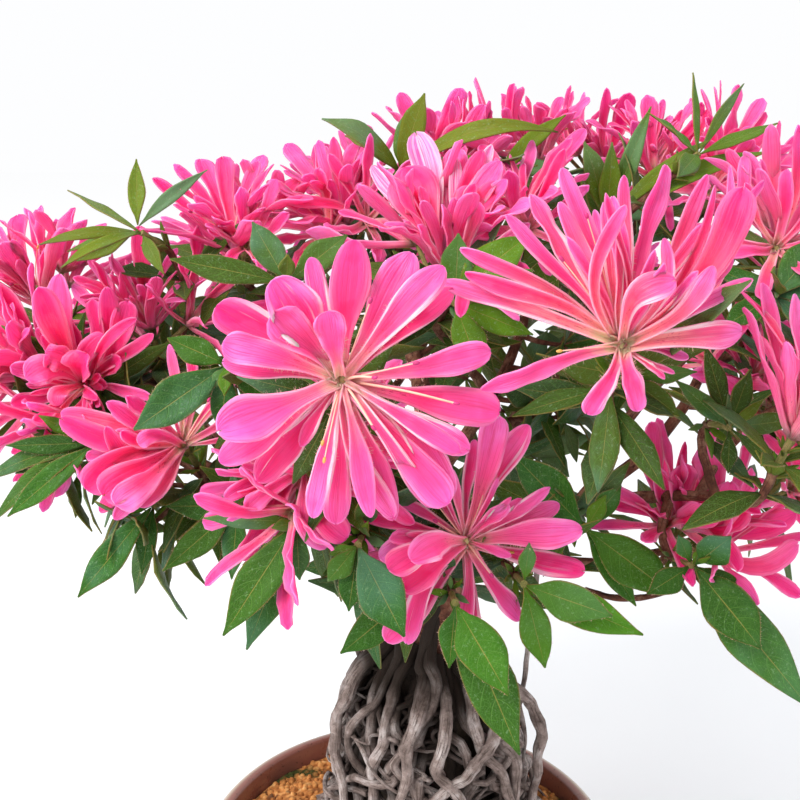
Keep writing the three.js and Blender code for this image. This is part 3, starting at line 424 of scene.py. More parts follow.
# %% Where the flowers and the leaves stand
FRONT = (0, -0.96, 0.28)
FRONT_LEFT = (
    (345, 88, 22, 4, 6), (29, 86, 25, 6.5, 8), (50, 88, 25, 4.5, 6, -10), (102, 88, 28, 6.5, 6),
    (129, 88, 24, 4.5, 6, 10), (159, 88, 26, 5, 6, 14), (182, 88, 25, 5, 6), (220, 88, 23, 7, 8),
    (279, 88, 21, 4.5, 6), (301, 87, 25, 8, 6), (5, 77, 24, 7.5, 10), (42, 77, 26, 5.5, 10, 12),
    (80, 80, 26, 5.5, 10, 10), (119, 76, 25, 4.5, 12, -12), (139, 79, 28, 7, 8),
    (167, 76, 24, 4.5, 12, -14), (191, 76, 24, 4.5, 12, 10), (236, 79, 25, 7, 10),
    (288, 77, 21, 6.5, 10), (246, 64, 23, 8, 14), (326, 62, 21, 8.5, 14), (350, 38, 13, 6.5, 46),
)

FRONT_RIGHT = (
    (12, 88, 32, 6, 4), (45, 90, 30, 8, 6), (97, 88, 12, 2.6, 6), (290, 90, 33, 5, 4),
    (304, 92, 33, 4.2, 4), (330, 92, 31, 5, 4, 10), (350, 92, 25, 3, 4), (1, 78, 29, 5, 6),
    (27, 80, 32, 4, 8, 16), (37, 76, 35, 3.4, 8), (254, 74, 26, 4.8, 22), (296, 80, 30, 4, 8),
    (317, 82, 30, 4, 8), (341, 80, 32, 4, 6), (50, 60, 23, 4.5, 12), (84, 42, 21, 7.5, 66),
    (175, 36, 13, 5, 50), (210, 44, 15, 5, 50), (352, 60, 26, 4.4, 12, 10),
)

FRONT_LOW = (
    (4, 92, 20, 3, 4), (27, 86, 26, 6.5, 4, -8), (70, 88, 20, 4, 6), (105, 84, 24, 6, 8),
    (184, 86, 27, 5.5, 6), (211, 80, 25, 7, 8), (258, 88, 24, 4, 6), (302, 88, 17, 3.4, 8),
    (331, 88, 17, 3.4, 8), (14, 74, 26, 6.5, 8, 10), (82, 66, 23, 7.5, 20), (134, 70, 21, 5.5, 24),
    (233, 62, 19, 6.5, 26), (272, 76, 24, 3.6, 8),
)

LEFT_LOW = (
    (286, 84, 27, 5.5, 6), (234, 84, 23, 6, 6), (8, 86, 23, 3.6, 4), (36, 84, 21, 3.2, 10),
    (352, 88, 22, 3.4, 4), (300, 60, 17, 4, 20), (262, 66, 20, 4, 24), (244, 70, 22, 5, 8, 12),
    (222, 68, 21, 4.5, 8, -12), (62, 76, 20, 3.4, 20),
)

HEADS = (
    ("front_left", (-12, -70, 195.8), FRONT, FRONT_LEFT),
    ("front_right", (36.3, -68, 201.4), FRONT, FRONT_RIGHT),
    ("front_low", (11, -52, 158.2), FRONT, FRONT_LOW),
    ("left_low", (-48.3, -30, 170.7), FRONT, LEFT_LOW),
    ("under_front_left", (-20, -46, 172), (0, -0.85, -0.35), (68, 25, 9)),
    ("left_middle", (-73.7, -10, 179), (-0.15, -0.9, 0.35), (52, 20, 10)),
    ("left_edge", (-86, -2, 179), (-0.6, -0.45, 0.65), (38, 27, 8)),
    ("left_high", (-92, 18, 192), (-0.25, -0.2, 0.95), (36, 26, 8)),
    ("left_back", (-63, 10, 188), (-0.1, -0.3, 0.95), (38, 24, 7)),
    ("top_left", (-42.6, 18, 205.6), (-0.1, -0.35, 0.93), (42, 28, 8)),
    ("top_left_inner", (-16, 26, 211), (-0.3, -0.3, 0.9), (44, 26, 8)),
    ("top_middle", (6, 48, 224), (0, -0.1, 1), (34, 23, 7)),
    ("top_front", (7, -22, 207.6), (0.05, -0.3, 0.95), (32, 27, 7)),
    ("top_inner", (27, 8, 215), (-0.15, -0.45, 0.88), (46, 23, 8)),
    ("top_back", (36, 52, 225), (0, -0.05, 1), (26, 22, 6)),
    ("top_right_back", (56, 62, 222), (0, -0.15, 1), (40, 20, 7)),
    ("top_right_middle", (64, 44, 224), (0.05, -0.3, 0.95), (32, 22, 6)),
    ("top_right", (80, 36, 219), (0.35, -0.3, 0.88), (42, 27, 9)),
    ("right_high", (81, -15, 212), (0.05, -0.2, 0.97), (36, 27, 8)),
    ("right_front", (70, -62, 183), (0.3, -0.15, 0.93), (34, 31, 8)),
    ("right_low", (61, -25, 150), (0.3, -0.25, 0.9), (52, 27, 9)),
    ("right_inner", (80, -6, 178), (0.1, -0.6, 0.75), (50, 24, 7)),
    ("right_edge", (94, -28, 188), (0.75, -0.35, 0.55), (48, 26, 8)),
    ("right_edge_low", (92, -8, 150), (0.75, -0.45, 0.3), (50, 24, 7)),
    ("back_left", (-48, 62, 196), (-0.4, 0.6, 0.7), (52, 26, 9)),
    ("back_left_low", (-72, 50, 174), (-0.7, 0.6, 0.35), (56, 26, 9)),
    ("back_middle", (12, 80, 190), (0, 0.85, 0.5), (60, 27, 10)),
    ("back_high", (-12, 68, 212), (-0.1, 0.5, 0.85), (46, 24, 8)),
    ("back_right", (62, 80, 178), (0.45, 0.8, 0.35), (58, 26, 9)),
    ("back_right_side", (98, 32, 186), (0.85, 0.3, 0.4), (54, 26, 8)),
)
# Stalks that leave their flower on another side than straight behind it.
STEMS = {
    "front_left": (0.1, -0.75, 0.5), "front_right": (0, -0.6, 0.8), "front_low": (0.2, -0.9, 0.1),
    "left_low": (-0.2, -0.5, 0.7), "under_front_left": (-0.6, -0.5, 0.5),
}
print(len(HEADS), "flower heads")

# %% [markdown]
# The leafy shoots are told in the same way: a name, the hub, the way it faces, and its leaves. The ones
# at the front have each leaf listed one by one, and the ones at the back follow a rule.

# %% Where the shoots stand
SHOOTS = (
    ("left_low_edge", (-68, -26, 170), FRONT, (
        (237, 80, 25, 7, 20), (250, 92, 21, 6, 20, 20), (268, 84, 20, 5.5, 20, -20),
        (150, 70, 15, 6, 20))),
    ("left_below", (-55, -33, 158), FRONT, ((219, 82, 25, 7.2, 14), (192, 96, 16, 6, 14))),
    ("left_hanging", (-36, -38, 160), FRONT, (
        (229, 84, 21, 8, 12), (186, 92, 16, 6, 10), (270, 78, 15, 6, 10))),
    ("low_front_left", (-22, -54, 163), FRONT, (
        (213, 82, 26, 9.5, 10), (202, 92, 28, 9, 10), (176, 72, 11, 5.5, 16))),
    ("low_front", (-10, -61, 161), FRONT, ((152, 74, 19, 10, 16), (188, 92, 13, 7, 10))),
    ("low_middle", (0, -52, 146), FRONT, ((231, 80, 18, 8.5, 12),)),
    ("bottom", (8.5, -63, 150), FRONT, (
        (149, 70, 19, 10.5, 14), (157, 92, 32, 11, 2), (186, 80, 12, 6, 10))),
    ("bottom_right", (22, -59, 152), FRONT, (
        (108, 70, 17.5, 8, 14), (120, 84, 25, 8.5, 10), (6, 70, 8.5, 4, 10), (165, 100, 18, 7, 4))),
    ("right_of_trunk", (37.5, -36, 154), FRONT, (
        (115, 78, 25, 12, 12), (146, 96, 21, 6.5, 8), (316, 92, 22, 10, 6), (40, 84, 12, 6, 10))),
    ("right_low_front", (58, -46, 150), FRONT, (
        (143, 66, 20, 10.5, 16), (141, 84, 37, 13, 8), (57, 70, 11, 8, 12), (332, 60, 8, 4, 12),
        (238, 84, 11, 6, 10), (118, 100, 14, 5, 8))),
    ("right_narrow", (62, -50, 181), FRONT, (
        (316, 72, 15, 4, 8), (342, 80, 17, 4.5, 8), (356, 70, 16, 4.5, 10), (182, 84, 9, 4, 10),
        (130, 80, 17, 4.5, 8), (84, 92, 14, 5, 8))),
    ("under_front_right", (40, -57, 193), FRONT, (
        (66, 78, 19, 6, 6), (86, 84, 13, 4, 10), (128, 74, 12, 5, 16), (262, 92, 19, 7, 8))),
    ("between_fronts", (9, -37, 203), FRONT, (
        (2, 66, 14, 7.8, 10), (68, 70, 17, 7, 8), (160, 84, 15, 8, 8), (112, 90, 17, 7, 6))),
    ("behind_front_left", (-24, -42, 208), FRONT, (
        (281, 76, 23, 6, 18), (52, 84, 15, 6, 10), (330, 92, 14, 6.5, 10))),
    ("left_front", (-36, -44, 192), FRONT, (
        (234, 74, 22, 9.5, 12), (294, 84, 13, 6, 14), (186, 92, 14, 6, 10), (124, 92, 12, 6, 8))),
    ("left_top", (-62, 2, 212), (-0.2, -0.7, 0.65), (
        (352, 62, 16, 6, 10), (290, 84, 28, 6, 20, 30), (262, 92, 22, 5.5, 24, 20),
        (48, 70, 21, 5, 20, 20), (232, 80, 16, 8, 14), (140, 80, 15, 6, 14))),
    ("left_side", (-84, 26, 180), (-0.7, 0.1, 0.7), (66, 22, 5)),
    ("top_left", (-2, 28, 224), (-0.1, -0.3, 0.95), (
        (10, 22, 16, 7, 16), (292, 66, 24, 7, 40, 20), (70, 72, 27, 6.5, 44), (160, 70, 18, 7, 30))),
    ("top_middle", (22, 30, 222), (0.1, -0.4, 0.92), (
        (80, 74, 22, 7, 30), (300, 60, 18, 6.5, 30), (120, 78, 18, 8, 16), (196, 80, 16, 7, 20))),
    ("top_right", (48, 14, 213), (0.05, -0.55, 0.83), (
        (332, 60, 13, 6, 8), (2, 50, 12, 5.5, 8), (28, 70, 22, 6, 10, 20), (74, 78, 18, 7, 16),
        (282, 80, 16, 7, 20))),
    ("top_right_back", (66, 2, 230), (0.2, -0.5, 0.85), (
        (24, 48, 23, 5.5, 6, 30), (60, 62, 32, 4.5, 16, 40), (78, 74, 24, 5, 10, 20),
        (316, 66, 15, 7, 14), (230, 78, 16, 7, 14))),
    ("right_top", (74, -34, 204), (0.1, -0.7, 0.7), (
        (240, 82, 15, 6, 10), (96, 74, 20, 9, 20), (300, 84, 14, 6, 8), (150, 84, 18, 8, 12))),
    ("right_side", (98, 6, 168), (0.9, -0.1, 0.4), (68, 23, 6)),
    ("back_left", (-66, 62, 184), (-0.5, 0.7, 0.5), (68, 23, 6)),
    ("back_middle", (-20, 72, 178), (-0.1, 0.8, 0.5), (70, 23, 6)),
    ("back_right", (40, 84, 200), (0.2, 0.7, 0.7), (66, 23, 6)),
    ("back_low", (34, 66, 158), (0.3, 0.8, 0.2), (70, 22, 5)),
)
print(len(SHOOTS), "leafy shoots")

# %% [markdown]
# Where a head or shoot has only three numbers, a rule lays its straps evenly round the hub with a
# little play. Then every strap is sought in its solid, since crowded ones were turned or cut back
# there until they had room.

# %% Find the straps
def petals_by_rule(opening, reach, count, seed):
    draw = dice(seed)
    turn = 360 * draw()
    rows = []
    for index in range(count):
        clock = turn + 360 / count * (index + 0.3 * (draw() - 0.5))
        opened = opening * (0.74 if index % 2 else 1.06) + 12 * (draw() - 0.5)
        length = reach * (0.84 + 0.26 * draw())
        width = reach * (0.16 + 0.12 * draw())
        curl = 6 + 34 * draw() * draw()
        rows.append((clock, opened, length, width, curl, 30 * (draw() - 0.5)))
    return rows


def leaves_by_rule(opening, reach, count, seed):
    draw = dice(seed)
    turn = 360 * draw()
    rows = []
    for index in range(count):
        clock = turn + 360 / count * (index + 0.4 * (draw() - 0.5))
        length = reach * (0.7 + 0.4 * draw())
        rows.append((clock, opening + 24 * (draw() - 0.5), length, length * 0.33, 10 + 24 * draw(), 0))
    return rows


def is_rule(rows):
    return not isinstance(rows[0], tuple)


def straps_of(node, at, facing, rows, per_layer, least_hub, tip_width):
    """The straps of one node, in as many layers as they need round a hub that grows with them."""
    layers = math.ceil(len(rows) / per_layer)
    hub = max(least_hub, 0.24 * len(rows) / layers)
    straps = found_straps(node, at, facing, rows, hub, layers, tip_width)
    print(node, "has", len(straps), "of", len(rows), "blades")
    return straps


FLOWER_SEED, SHOOT_SEED = 7, 36
flowers, shoots = {}, {}
for number, (name, at, facing, rows) in enumerate(HEADS):
    per_layer, tip_width = (10, 0.6) if is_rule(rows) else (8, 0.55)
    rows = petals_by_rule(*rows, FLOWER_SEED + number) if is_rule(rows) else rows
    flowers[name] = straps_of("bloom_" + name, at, facing, rows, per_layer, 1.9, tip_width)
for number, (name, at, facing, rows) in enumerate(SHOOTS):
    rows = leaves_by_rule(*rows, SHOOT_SEED + number) if is_rule(rows) else rows
    shoots[name] = straps_of("leaves_" + name, at, facing, rows, 6, 1.3, 0.1)

# %% [markdown]
# ## Petals
# A petal of this azalea is a strap: a narrow claw at the throat, broadest near its round tip, and
# channelled along its length. Each one is a thin closed shell, woven as a grid of rows along its
# strap. Its cup is deep at the claw and opens out towards the tip, and its edges ripple a little.

# %% Thin blades
BOX_MARGIN = 0.8
BOX_LOW, BOX_HIGH = on_plant(cad_low) + BOX_MARGIN, on_plant(cad_high) - BOX_MARGIN


class Blades:
    """Gathers thin closed shells, to make them into one mesh with a UV map and a look for each."""

    def __init__(self):
        self.points, self.faces, self.uvs, self.looks = [], [], [], []

    def add(self, grid, thickness, look):
        rows, columns = grid.shape[:2]
        grid = np.clip(grid, BOX_LOW, BOX_HIGH)
        normal = unit(np.cross(np.gradient(grid, axis=1), np.gradient(grid, axis=0)))
        shell = np.concatenate([grid + normal * thickness / 2, grid - normal * thickness / 2])
        front, back = np.arange(2 * rows * columns).reshape(2, rows, columns)
        rim = np.concatenate([front[0], front[1:, -1], front[-1, -2::-1], front[-2:0:-1, 0]])
        after, under = np.roll(rim, -1), rows * columns
        quads = [
            (front[:-1, :-1], front[:-1, 1:], front[1:, 1:], front[1:, :-1]),
            (back[:-1, :-1], back[1:, :-1], back[1:, 1:], back[:-1, 1:]),
            (rim, rim + under, after + under, after),
        ]
        quads = np.concatenate([np.stack(corners, -1).reshape(-1, 4) for corners in quads])
        across_share, down_share = np.meshgrid(np.linspace(0, 1, columns), np.linspace(0, 1, rows))
        uv = np.stack([across_share, down_share], -1).reshape(-1, 2)
        every = np.ones(2 * under)
        is_back = np.repeat([0.0, 1.0], under)
        self.faces.append(quads + sum(len(part) for part in self.points))
        self.points.append(shell.reshape(-1, 3))
        self.uvs.append(np.concatenate([uv, uv]))
        self.looks.append(np.stack([look[0] * every, look[1] * every, is_back, look[2] * every], -1))

    def piece(self, name, material, slot, *nodes):
        faces = np.concatenate(self.faces)
        mesh = new_mesh(name, np.concatenate(self.points), faces.tolist())
        uvs = np.concatenate(self.uvs)[faces.ravel()]
        mesh.uv_layers.new(name="blade").data.foreach_set("uv", uvs.astype(np.float32).ravel())
        looks = mesh.attributes.new("look", "FLOAT_COLOR", "POINT")
        looks.data.foreach_set("color", np.concatenate(self.looks).astype(np.float32).ravel())
        return finished(name, mesh, material, slot, *nodes)


def finished(name, mesh, material, slot, *nodes):
    """An object in the scene that rides on the tree's one body and stands for these nodes."""
    mesh.validate()
    mesh.shade_smooth()
    if material:
        mesh.materials.clear()
        mesh.materials.append(material)
    piece = new_object(name, mesh)
    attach(piece, "root")
    if nodes:
        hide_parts(*nodes)
    return piece


def twisted(side, face, angle):
    """The sideways and the face direction after a twist round the blade's length, in radians."""
    cosine, sine = np.cos(angle)[:, None], np.sin(angle)[:, None]
    return side * cosine + face * sine, face * cosine - side * sine


print("blades stay", BOX_MARGIN, "mm inside the solid model's box")

# %% [markdown]
# A petal is narrow at its claw, broad near its tip, and cupped and rippled in between. Each of these
# is one short formula along the strap, with a draw in it, because no two petals of a flower match.

# %% The shape of a petal
PETAL_THICKNESS = 0.28


def petal_grid(strap, draw, rows=15, columns=7, narrow=0.0):
    """A spoon-shaped strap, or an even ribbon where narrow is near one."""
    share = 1 - (1 - np.linspace(0, 1, rows)) ** 1.35
    middle, side, face = strap.along(share)
    middle[0] = strap.centre + strap.outwards * 0.4 * strap.hub - strap.axis * 0.4
    full = strap.width * (1 - 0.42 * narrow) * (0.82 + 0.26 * draw())
    claw, belly = 0.25 + 0.1 * draw() + 0.38 * narrow, 0.66 + 0.16 * draw() + 0.1 * narrow
    wide = claw + (1 - claw) * smooth(0.12, belly, share) ** (1.0 + 0.6 * draw())
    tip = np.clip((share - belly) / (1 - belly), 0, 1)
    blunt = 2.0 + 0.9 * draw() - 0.6 * narrow
    wide = full * wide * np.maximum(1 - tip**blunt, 0.004) ** 0.5
    wide[-1] = 0.1 * full
    deep, shallow = 0.5 + 0.3 * draw() + 0.3 * narrow, -0.1 + 0.45 * draw() + 0.25 * narrow
    cup = deep + (shallow - deep) * smooth(0.1, 0.95, share)
    twist = math.radians(50 + 30 * narrow) * (draw() - 0.5) * smooth(0.1, 1, share)
    turned, lifted = twisted(side, face, twist)
    phase, waves, strength = TURN * draw(), 1.2 + 2.4 * draw(), 0.05 + 0.15 * draw()
    sway = strap.length * (0.03 + 0.1 * narrow) * (draw() - 0.5) * np.sin(math.pi * 1.4 * share)
    nod = strap.length * (0.06 + 0.1 * narrow) * (draw() - 0.5) * np.sin(math.pi * 1.2 * share)
    notch = 0.12 * strap.length * max(0.0, draw() - 0.55) * smooth(0.85, 1, share)
    nod += 0.22 * strap.length * narrow * (draw() - 0.5) * smooth(0.45, 1, share)
    along = unit(np.gradient(middle, axis=0))
    grid = np.empty((rows, columns, 3))
    for column, x in enumerate(np.linspace(-1, 1, columns)):
        ripple = strength * abs(x) ** 1.5 * np.sin(TURN * waves * share + phase + 1.4 * x)
        crease = 0.05 * math.exp(-((x / 0.22) ** 2))
        rise = wide * (cup * x * x * 0.5 - crease + ripple * smooth(0.2, 0.6, share)) + nod
        wobble = np.sin(9 * share + 2.0 * phase + 2.5 * np.sign(x)) * smooth(0.2, 0.5, share)
        aside = x * (1 + 0.07 * wobble) * wide / 2 + sway
        back = notch * math.exp(-((x / 0.3) ** 2))
        grid[:, column] = middle + turned * aside[:, None] + lifted * rise[:, None]
        grid[:, column] -= along * back[:, None]
    return grid


print("a petal is", PETAL_THICKNESS, "mm thick")


# %% [markdown]
# The colour of a petal runs from a creamy throat through coral to hot pink at the tip. It is deeper
# along its middle, which is partly its own tone and partly painted shade in its groove. Its edges are a
# little lighter, partly their own tone and partly painted light, and pale petals carry a painted lilac
# highlight towards the tip. The edges of the claw are white, and some petals have white streaks. The
# pattern follows the petal's own UV map, and each petal carries its own look, so no two are alike.

# %% The finish of petals
def petal_finish():
    finish = Finish("azalea_petal")
    across, down, edge, own, depth, margin, under = finish.blade()
    blush = finish.noise(finish.place, 130, 2)
    drift = (blush - 0.5) * 0.35 + down
    cream = (0.0, (0.64, 0.46, 0.24))
    magenta = finish.ramp(drift, cream, (0.04, (0.92, 0.35, 0.30)), (0.13, (0.95, 0.14, 0.24)),
                          (0.36, (0.95, 0.06, 0.235)), (1.0, (0.95, 0.08, 0.335)))
    coral = finish.ramp(drift, cream, (0.07, (0.95, 0.36, 0.29)), (0.3, (0.96, 0.17, 0.21)),
                        (0.65, (0.95, 0.09, 0.24)), (1.0, (0.95, 0.10, 0.37)))
    colour = finish.mix(own.rise(0.35, 0.8), magenta, coral)

    # Crimson lies along the middle, partly the petal's own deeper heart and partly painted shade in its
    # groove, and all over the deepest petals. Towards the tip, pale ones get a painted lilac highlight.
    crimson = finish.mix(1.0, colour, (0.97, 0.12, 0.42), "MULTIPLY")
    above_claw = down.rise(0.1, 0.4)
    heart_and_groove_shade = (1 - edge.rise(0.35, 1.0)) * depth * blush.rise(0.33, 0.56) * above_claw
    all_over = depth.rise(0.5, 1.0) * 0.65 * above_claw
    colour = finish.mix(finish.math("MAXIMUM", heart_and_groove_shade, all_over), colour, crimson)
    # Painted highlight: pale petals turn lilac towards the tip, as where the sky lights their upper
    # faces.
    lilac_highlight = down.rise(0.4, 0.95) * (1 - depth) * finish.noise(finish.place, 150, 2).rise(0.38, 0.66)
    colour = finish.mix(lilac_highlight, colour, (0.94, 0.17, 0.49))
    # Lighter pink along the edges: partly the petal's own tone, partly painted light that rounds its
    # form.
    colour = finish.mix(edge.rise(0.5, 1.0) * 0.22, colour, (0.94, 0.32, 0.42))

    # White streaks run lengthwise, the claw has a white rim, and one side is white as on a fold.
    streaks = finish.noise(finish.join(across * 6.0, down * 0.9, own * 40.0), 1.0, 2, 0.5)
    streak = streaks.rise(0.63, 0.7) * margin.rise(0.45, 0.8) * (1 - down.rise(0.7, 0.98))
    rim = (edge + (streaks - 0.5) * 0.3).rise(0.84, 0.95) * (1 - down.rise(0.5, 0.8))
    rim = rim * finish.math("MINIMUM", margin, 1) * down.rise(0.04, 0.2)
    left = finish.math("GREATER_THAN", finish.math("FRACT", own * 7), 0.5)
    aside = left * across + (1 - left) * (1 - across)
    fold = (streaks * 0.3 + aside).rise(0.97, 1.02) * (1 - down.rise(0.5, 0.85))
    fold = fold * down.rise(0.08, 0.3) * margin.rise(0.35, 0.6)
    white = finish.math("MAXIMUM", streak * 0.8, finish.math("MAXIMUM", rim, fold))
    colour = finish.mix(white * 0.8, colour, (0.93, 0.58, 0.64))
    # The back of a petal is a lighter pink: partly its own paler back, partly a painted glow of light
    # shining through the thin petal.
    colour = finish.mix(under * 0.45, colour, (0.94, 0.16, 0.34))
    milky = margin.rise(1.1, 1.6) * down.rise(0.15, 0.5) * streaks.rise(0.36, 0.6)
    colour = finish.mix(milky * 0.85, colour, (0.90, 0.48, 0.70))

    # Fine veins run all the way, and dark speckles mark the throat.
    veins = finish.noise(finish.join(across * 24.0, down * 2.0, own * 90.0), 1.0, 2, 0.6)
    colour = finish.mix(veins.rise(0.46, 0.68) * 0.6, colour, (0.78, 0.02, 0.13))
    marks = finish.noise(finish.join(across * 9.0, down * 26.0, own * 60.0), 1.0, 2, 0.5)
    throat = down.rise(0.1, 0.16) * (1 - down.rise(0.26, 0.4)) * (1 - edge.rise(0.5, 0.8))
    marks = marks.rise(0.6, 0.66) * throat * own.rise(0.35, 0.4)
    colour = finish.mix(marks * 0.75, colour, (0.50, 0.01, 0.05))
    finish.relief(streaks * 1.5 + veins, 0.0004, 0.6)
    return finish.shade(Base_Color=colour, Roughness=0.48, Specular_IOR_Level=0.3,
                        Subsurface_Weight=0.6, Subsurface_Radius=(0.004, 0.001, 0.0018),
                        Subsurface_Scale=1.0)


PETAL = petal_finish()
print("petals have", len(PETAL.node_tree.nodes), "nodes in their finish")

# %% [markdown]
# No two flowers of this tree look the same: some are nearly coral, some crimson, some edged with
# white. The flowers that are seen closest have their own settings here, and the others take theirs
# from a draw.

# %% How each flower differs
# How many smaller straps stand between the large ones, and how much like ribbons they all are. The
# two sparse flowers have fewer than the others, which have as many as MANY says.
INNER_PETALS = {"front_left": 3, "front_right": 11, "front_low": 12, "left_low": 10}
SPARSE = {"right_high": 7, "right_front": 9}
MANY = 19
RIBBONS = {
    "front_left": 0.0, "front_right": 1.0, "front_low": 0.35, "left_low": 0.5, "right_high": 0.95,
}
CORAL = {
    "front_left": 0.5, "front_right": 1.3, "front_low": 0.6, "left_low": 0.9, "right_front": 1.5,
    "right_high": 1.2,
}

# How crimson a flower is, and how white its edges are.
DEEP = {
    "front_left": 0.55, "front_right": 0.3, "left_low": 0.8, "left_middle": 0.95, "left_edge": 0.9,
    "left_high": 1.0, "left_back": 0.9, "right_low": 0.8, "right_inner": 0.8,
}
EDGED = {"front_left": 1.0, "front_low": 0.9, "front_right": 0.65}
# On the two flowers at the front each large petal has a depth of its own, in the order of its table.
SHADES = {
    "front_left": (
        0.1, 0.35, 0.95, 0.75, 0.4, 0.5, 0.6, 0.95, 0.5, 1.0, 0.85, 0.4, 0.25, 0.35, 0.45, 0.4, 0.1,
        0.45, 0.0, 0.0, 0.2, 0.1),
    "front_right": (
        0.35, 1.0, 0.3, 0.3, 0.5, 0.3, 0.4, 0.4, 0.6, 0.3, 0.35, 0.9, 0.35, 0.3, 0.4, 0.45, 0.5, 0.5,
        0.1),
}
print("petals on the two flowers at the front:", len(SHADES["front_left"]), len(SHADES["front_right"]))

# %% [markdown]
# A few petals leave the order of their flower: they hang, cross a neighbour or stand up. They are
# listed one by one, each from the hub to its tip.

# %% Petals that go their own way
def petal_look(deep, coral, edged, draw):
    """How crimson one petal is, how white its margin is, and how coral it is."""
    return np.clip(deep + 1.1 * (draw() - 0.5), 0, 1), edged * draw(), min(1, coral * draw())


def narrow_petals(blades, at, facing, outer, count, narrow, look, draw):
    """Smaller straps that stand up between the large ones."""
    for index in range(count):
        model = outer[int(draw() * len(outer))]
        row = (model.clock + 14 + 40 * draw(), model.open * (0.45 + 0.45 * draw()),
               model.length * (0.5 + 0.45 * draw()), model.width * (0.42 + 0.4 * draw()),
               model.curl + 24 * draw(), 50 * (draw() - 0.5))
        strap = Strap(np.asarray(at) + unit(facing) * 1.2, facing, row, 1.2)
        grid = petal_grid(strap, draw, 11, 5, 0.6 * narrow)
        blades.add(grid, PETAL_THICKNESS, petal_look(*look, draw))


# Petals that leave the order of their flower: the tip, the width, the bow and the lean. A fifth
# number makes a petal milky above one, and wholly crimson at zero.
LONE_PETALS = {
    "front_left": (
        ((-4, -76, 173), 4.5, 0.1, 0.05, 1.2), ((3, -77, 174), 4.5, 0.1, -0.05, 1.2),
        ((7, -76, 177), 5, 0.1, -0.1, 1.15)),
    "front_right": (
        ((33, -78, 227), 3.6, 0.1, -0.16), ((49, -70, 229), 2.4, 0.05, 0.12),
        ((55, -64, 232), 2.8, 0.05, 0.2), ((54, -72, 229), 7, 0.1, 0.1, 0.0),
        ((48, -78, 217), 4, 0.2, 0.1), ((42, -80, 215), 5, 0.3, -0.2), ((40, -76, 221), 3, 0.2, 0.15),
        ((25, -68, 226), 4.5, 0.1, -0.05)),
    "left_low": (
        ((-66, -44, 166), 6.5, 0.16, 0.1), ((-62, -46, 165), 7, 0.24, 0.0),
        ((-59, -48, 164), 6, 0.3, -0.06), ((-56, -46, 164), 6.5, 0.2, -0.1),
        ((-62, -40, 178), 4.5, 0.1, -0.3), ((-71, -40, 180), 6, 0.1, -0.1),
        ((-58, -42, 178), 4, 0.2, -0.1), ((-55, -44, 176), 4, 0.3, 0.1)),
    "left_middle": (
        ((-83, -24, 184), 8, 0.2, 0.15), ((-79, -22, 189), 6.5, 0.25, 0.1),
        ((-77, -14, 205), 7.5, 0.06, -0.05), ((-70, -22, 189), 7, 0.3, 0.0),
        ((-67, -18, 192), 5, 0.2, -0.1), ((-57, -18, 193), 4, 0.1, 0.06),
        ((-62, -14, 199), 5.5, 0.1, 0.1), ((-76, -24, 178), 5, 0.4, 0.1),
        ((-70, -12, 199), 4.5, 0.1, 0.1), ((-80, -20, 203), 6, 0.07, 0.0),
        ((-58, -24, 196), 4, 0.1, -0.1), ((-66, -18, 203), 6, -0.06, 0.1)),
    "left_edge": (((-104, -16, 186), 5, 0.1, 0.1), ((-100, -4, 203), 6, -0.08, 0.1)),
    "under_front_left": (
        ((-36, -54, 168), 4.5, 0.1, 0.05), ((-31, -58, 167), 4, 0.2, 0.05),
        ((-16, -60, 160), 6, 0.2, 0.1), ((-12, -60, 162), 5.5, 0.2, 0.1),
        ((-28, -52, 160), 5.5, 0.1, 0.1)),
    "front_low": (
        ((-4, -66, 158), 6.5, 0.2, 0.1), ((-2, -64, 153), 6, 0.2, 0.05), ((-6, -60, 158), 5, 0.1, 0.1),
        ((0, -70, 162), 5.5, 0.3, 0.1), ((-1, -64, 142), 5, 0.12, 0.1), ((7, -58, 136), 5, 0.1, -0.1)),
    "right_low": (
        ((53, -32, 165), 4, 0.1, -0.1), ((58, -34, 168), 6, 0.1, -0.05), ((63, -32, 172), 8, 0.15, 0.1),
        ((66, -40, 166), 8, 0.2, 0.1), ((82, -36, 158), 6, 0.1, 0.1), ((83, -38, 151), 5, 0.3, 0.2),
        ((43, -32, 157), 3.6, 0.1, 0.1), ((70, -38, 160), 6, 0.3, 0.1)),
    "top_front": (
        ((-1, -16, 228), 11, 0.08, 0), ((11, -14, 230), 4, 0.05, 0, 1.6),
        ((17, -14, 233), 4.2, -0.06, 0, 1.6), ((1, -8, 235), 8, 0.05, 0.05, 1.6),
        ((-8, -4, 228), 5, 0.1, 0, 1.6)),
    "right_high": (
        ((69, -20, 231), 3.6, 0.16, -0.2), ((79, -22, 237), 3.8, -0.12, 0.1),
        ((90, -20, 236), 4.5, 0.1, 0.05)),
    "top_right_back": (((52, 50, 244), 4, 0.06, 0), ((60, 54, 243), 5, -0.06, 0)),
    "top_middle": (
        ((-2, 40, 243), 5, 0.06, 0), ((14, 44, 244), 6, -0.08, 0), ((20, 40, 240), 5, 0.08, 0.1)),
}
print(sum(len(petals) for petals in LONE_PETALS.values()), "petals go their own way")

# %% [markdown]
# Every head gets its large straps first, then the petals that leave the order of the flower, and
# last the small ones between them, which fill its middle.

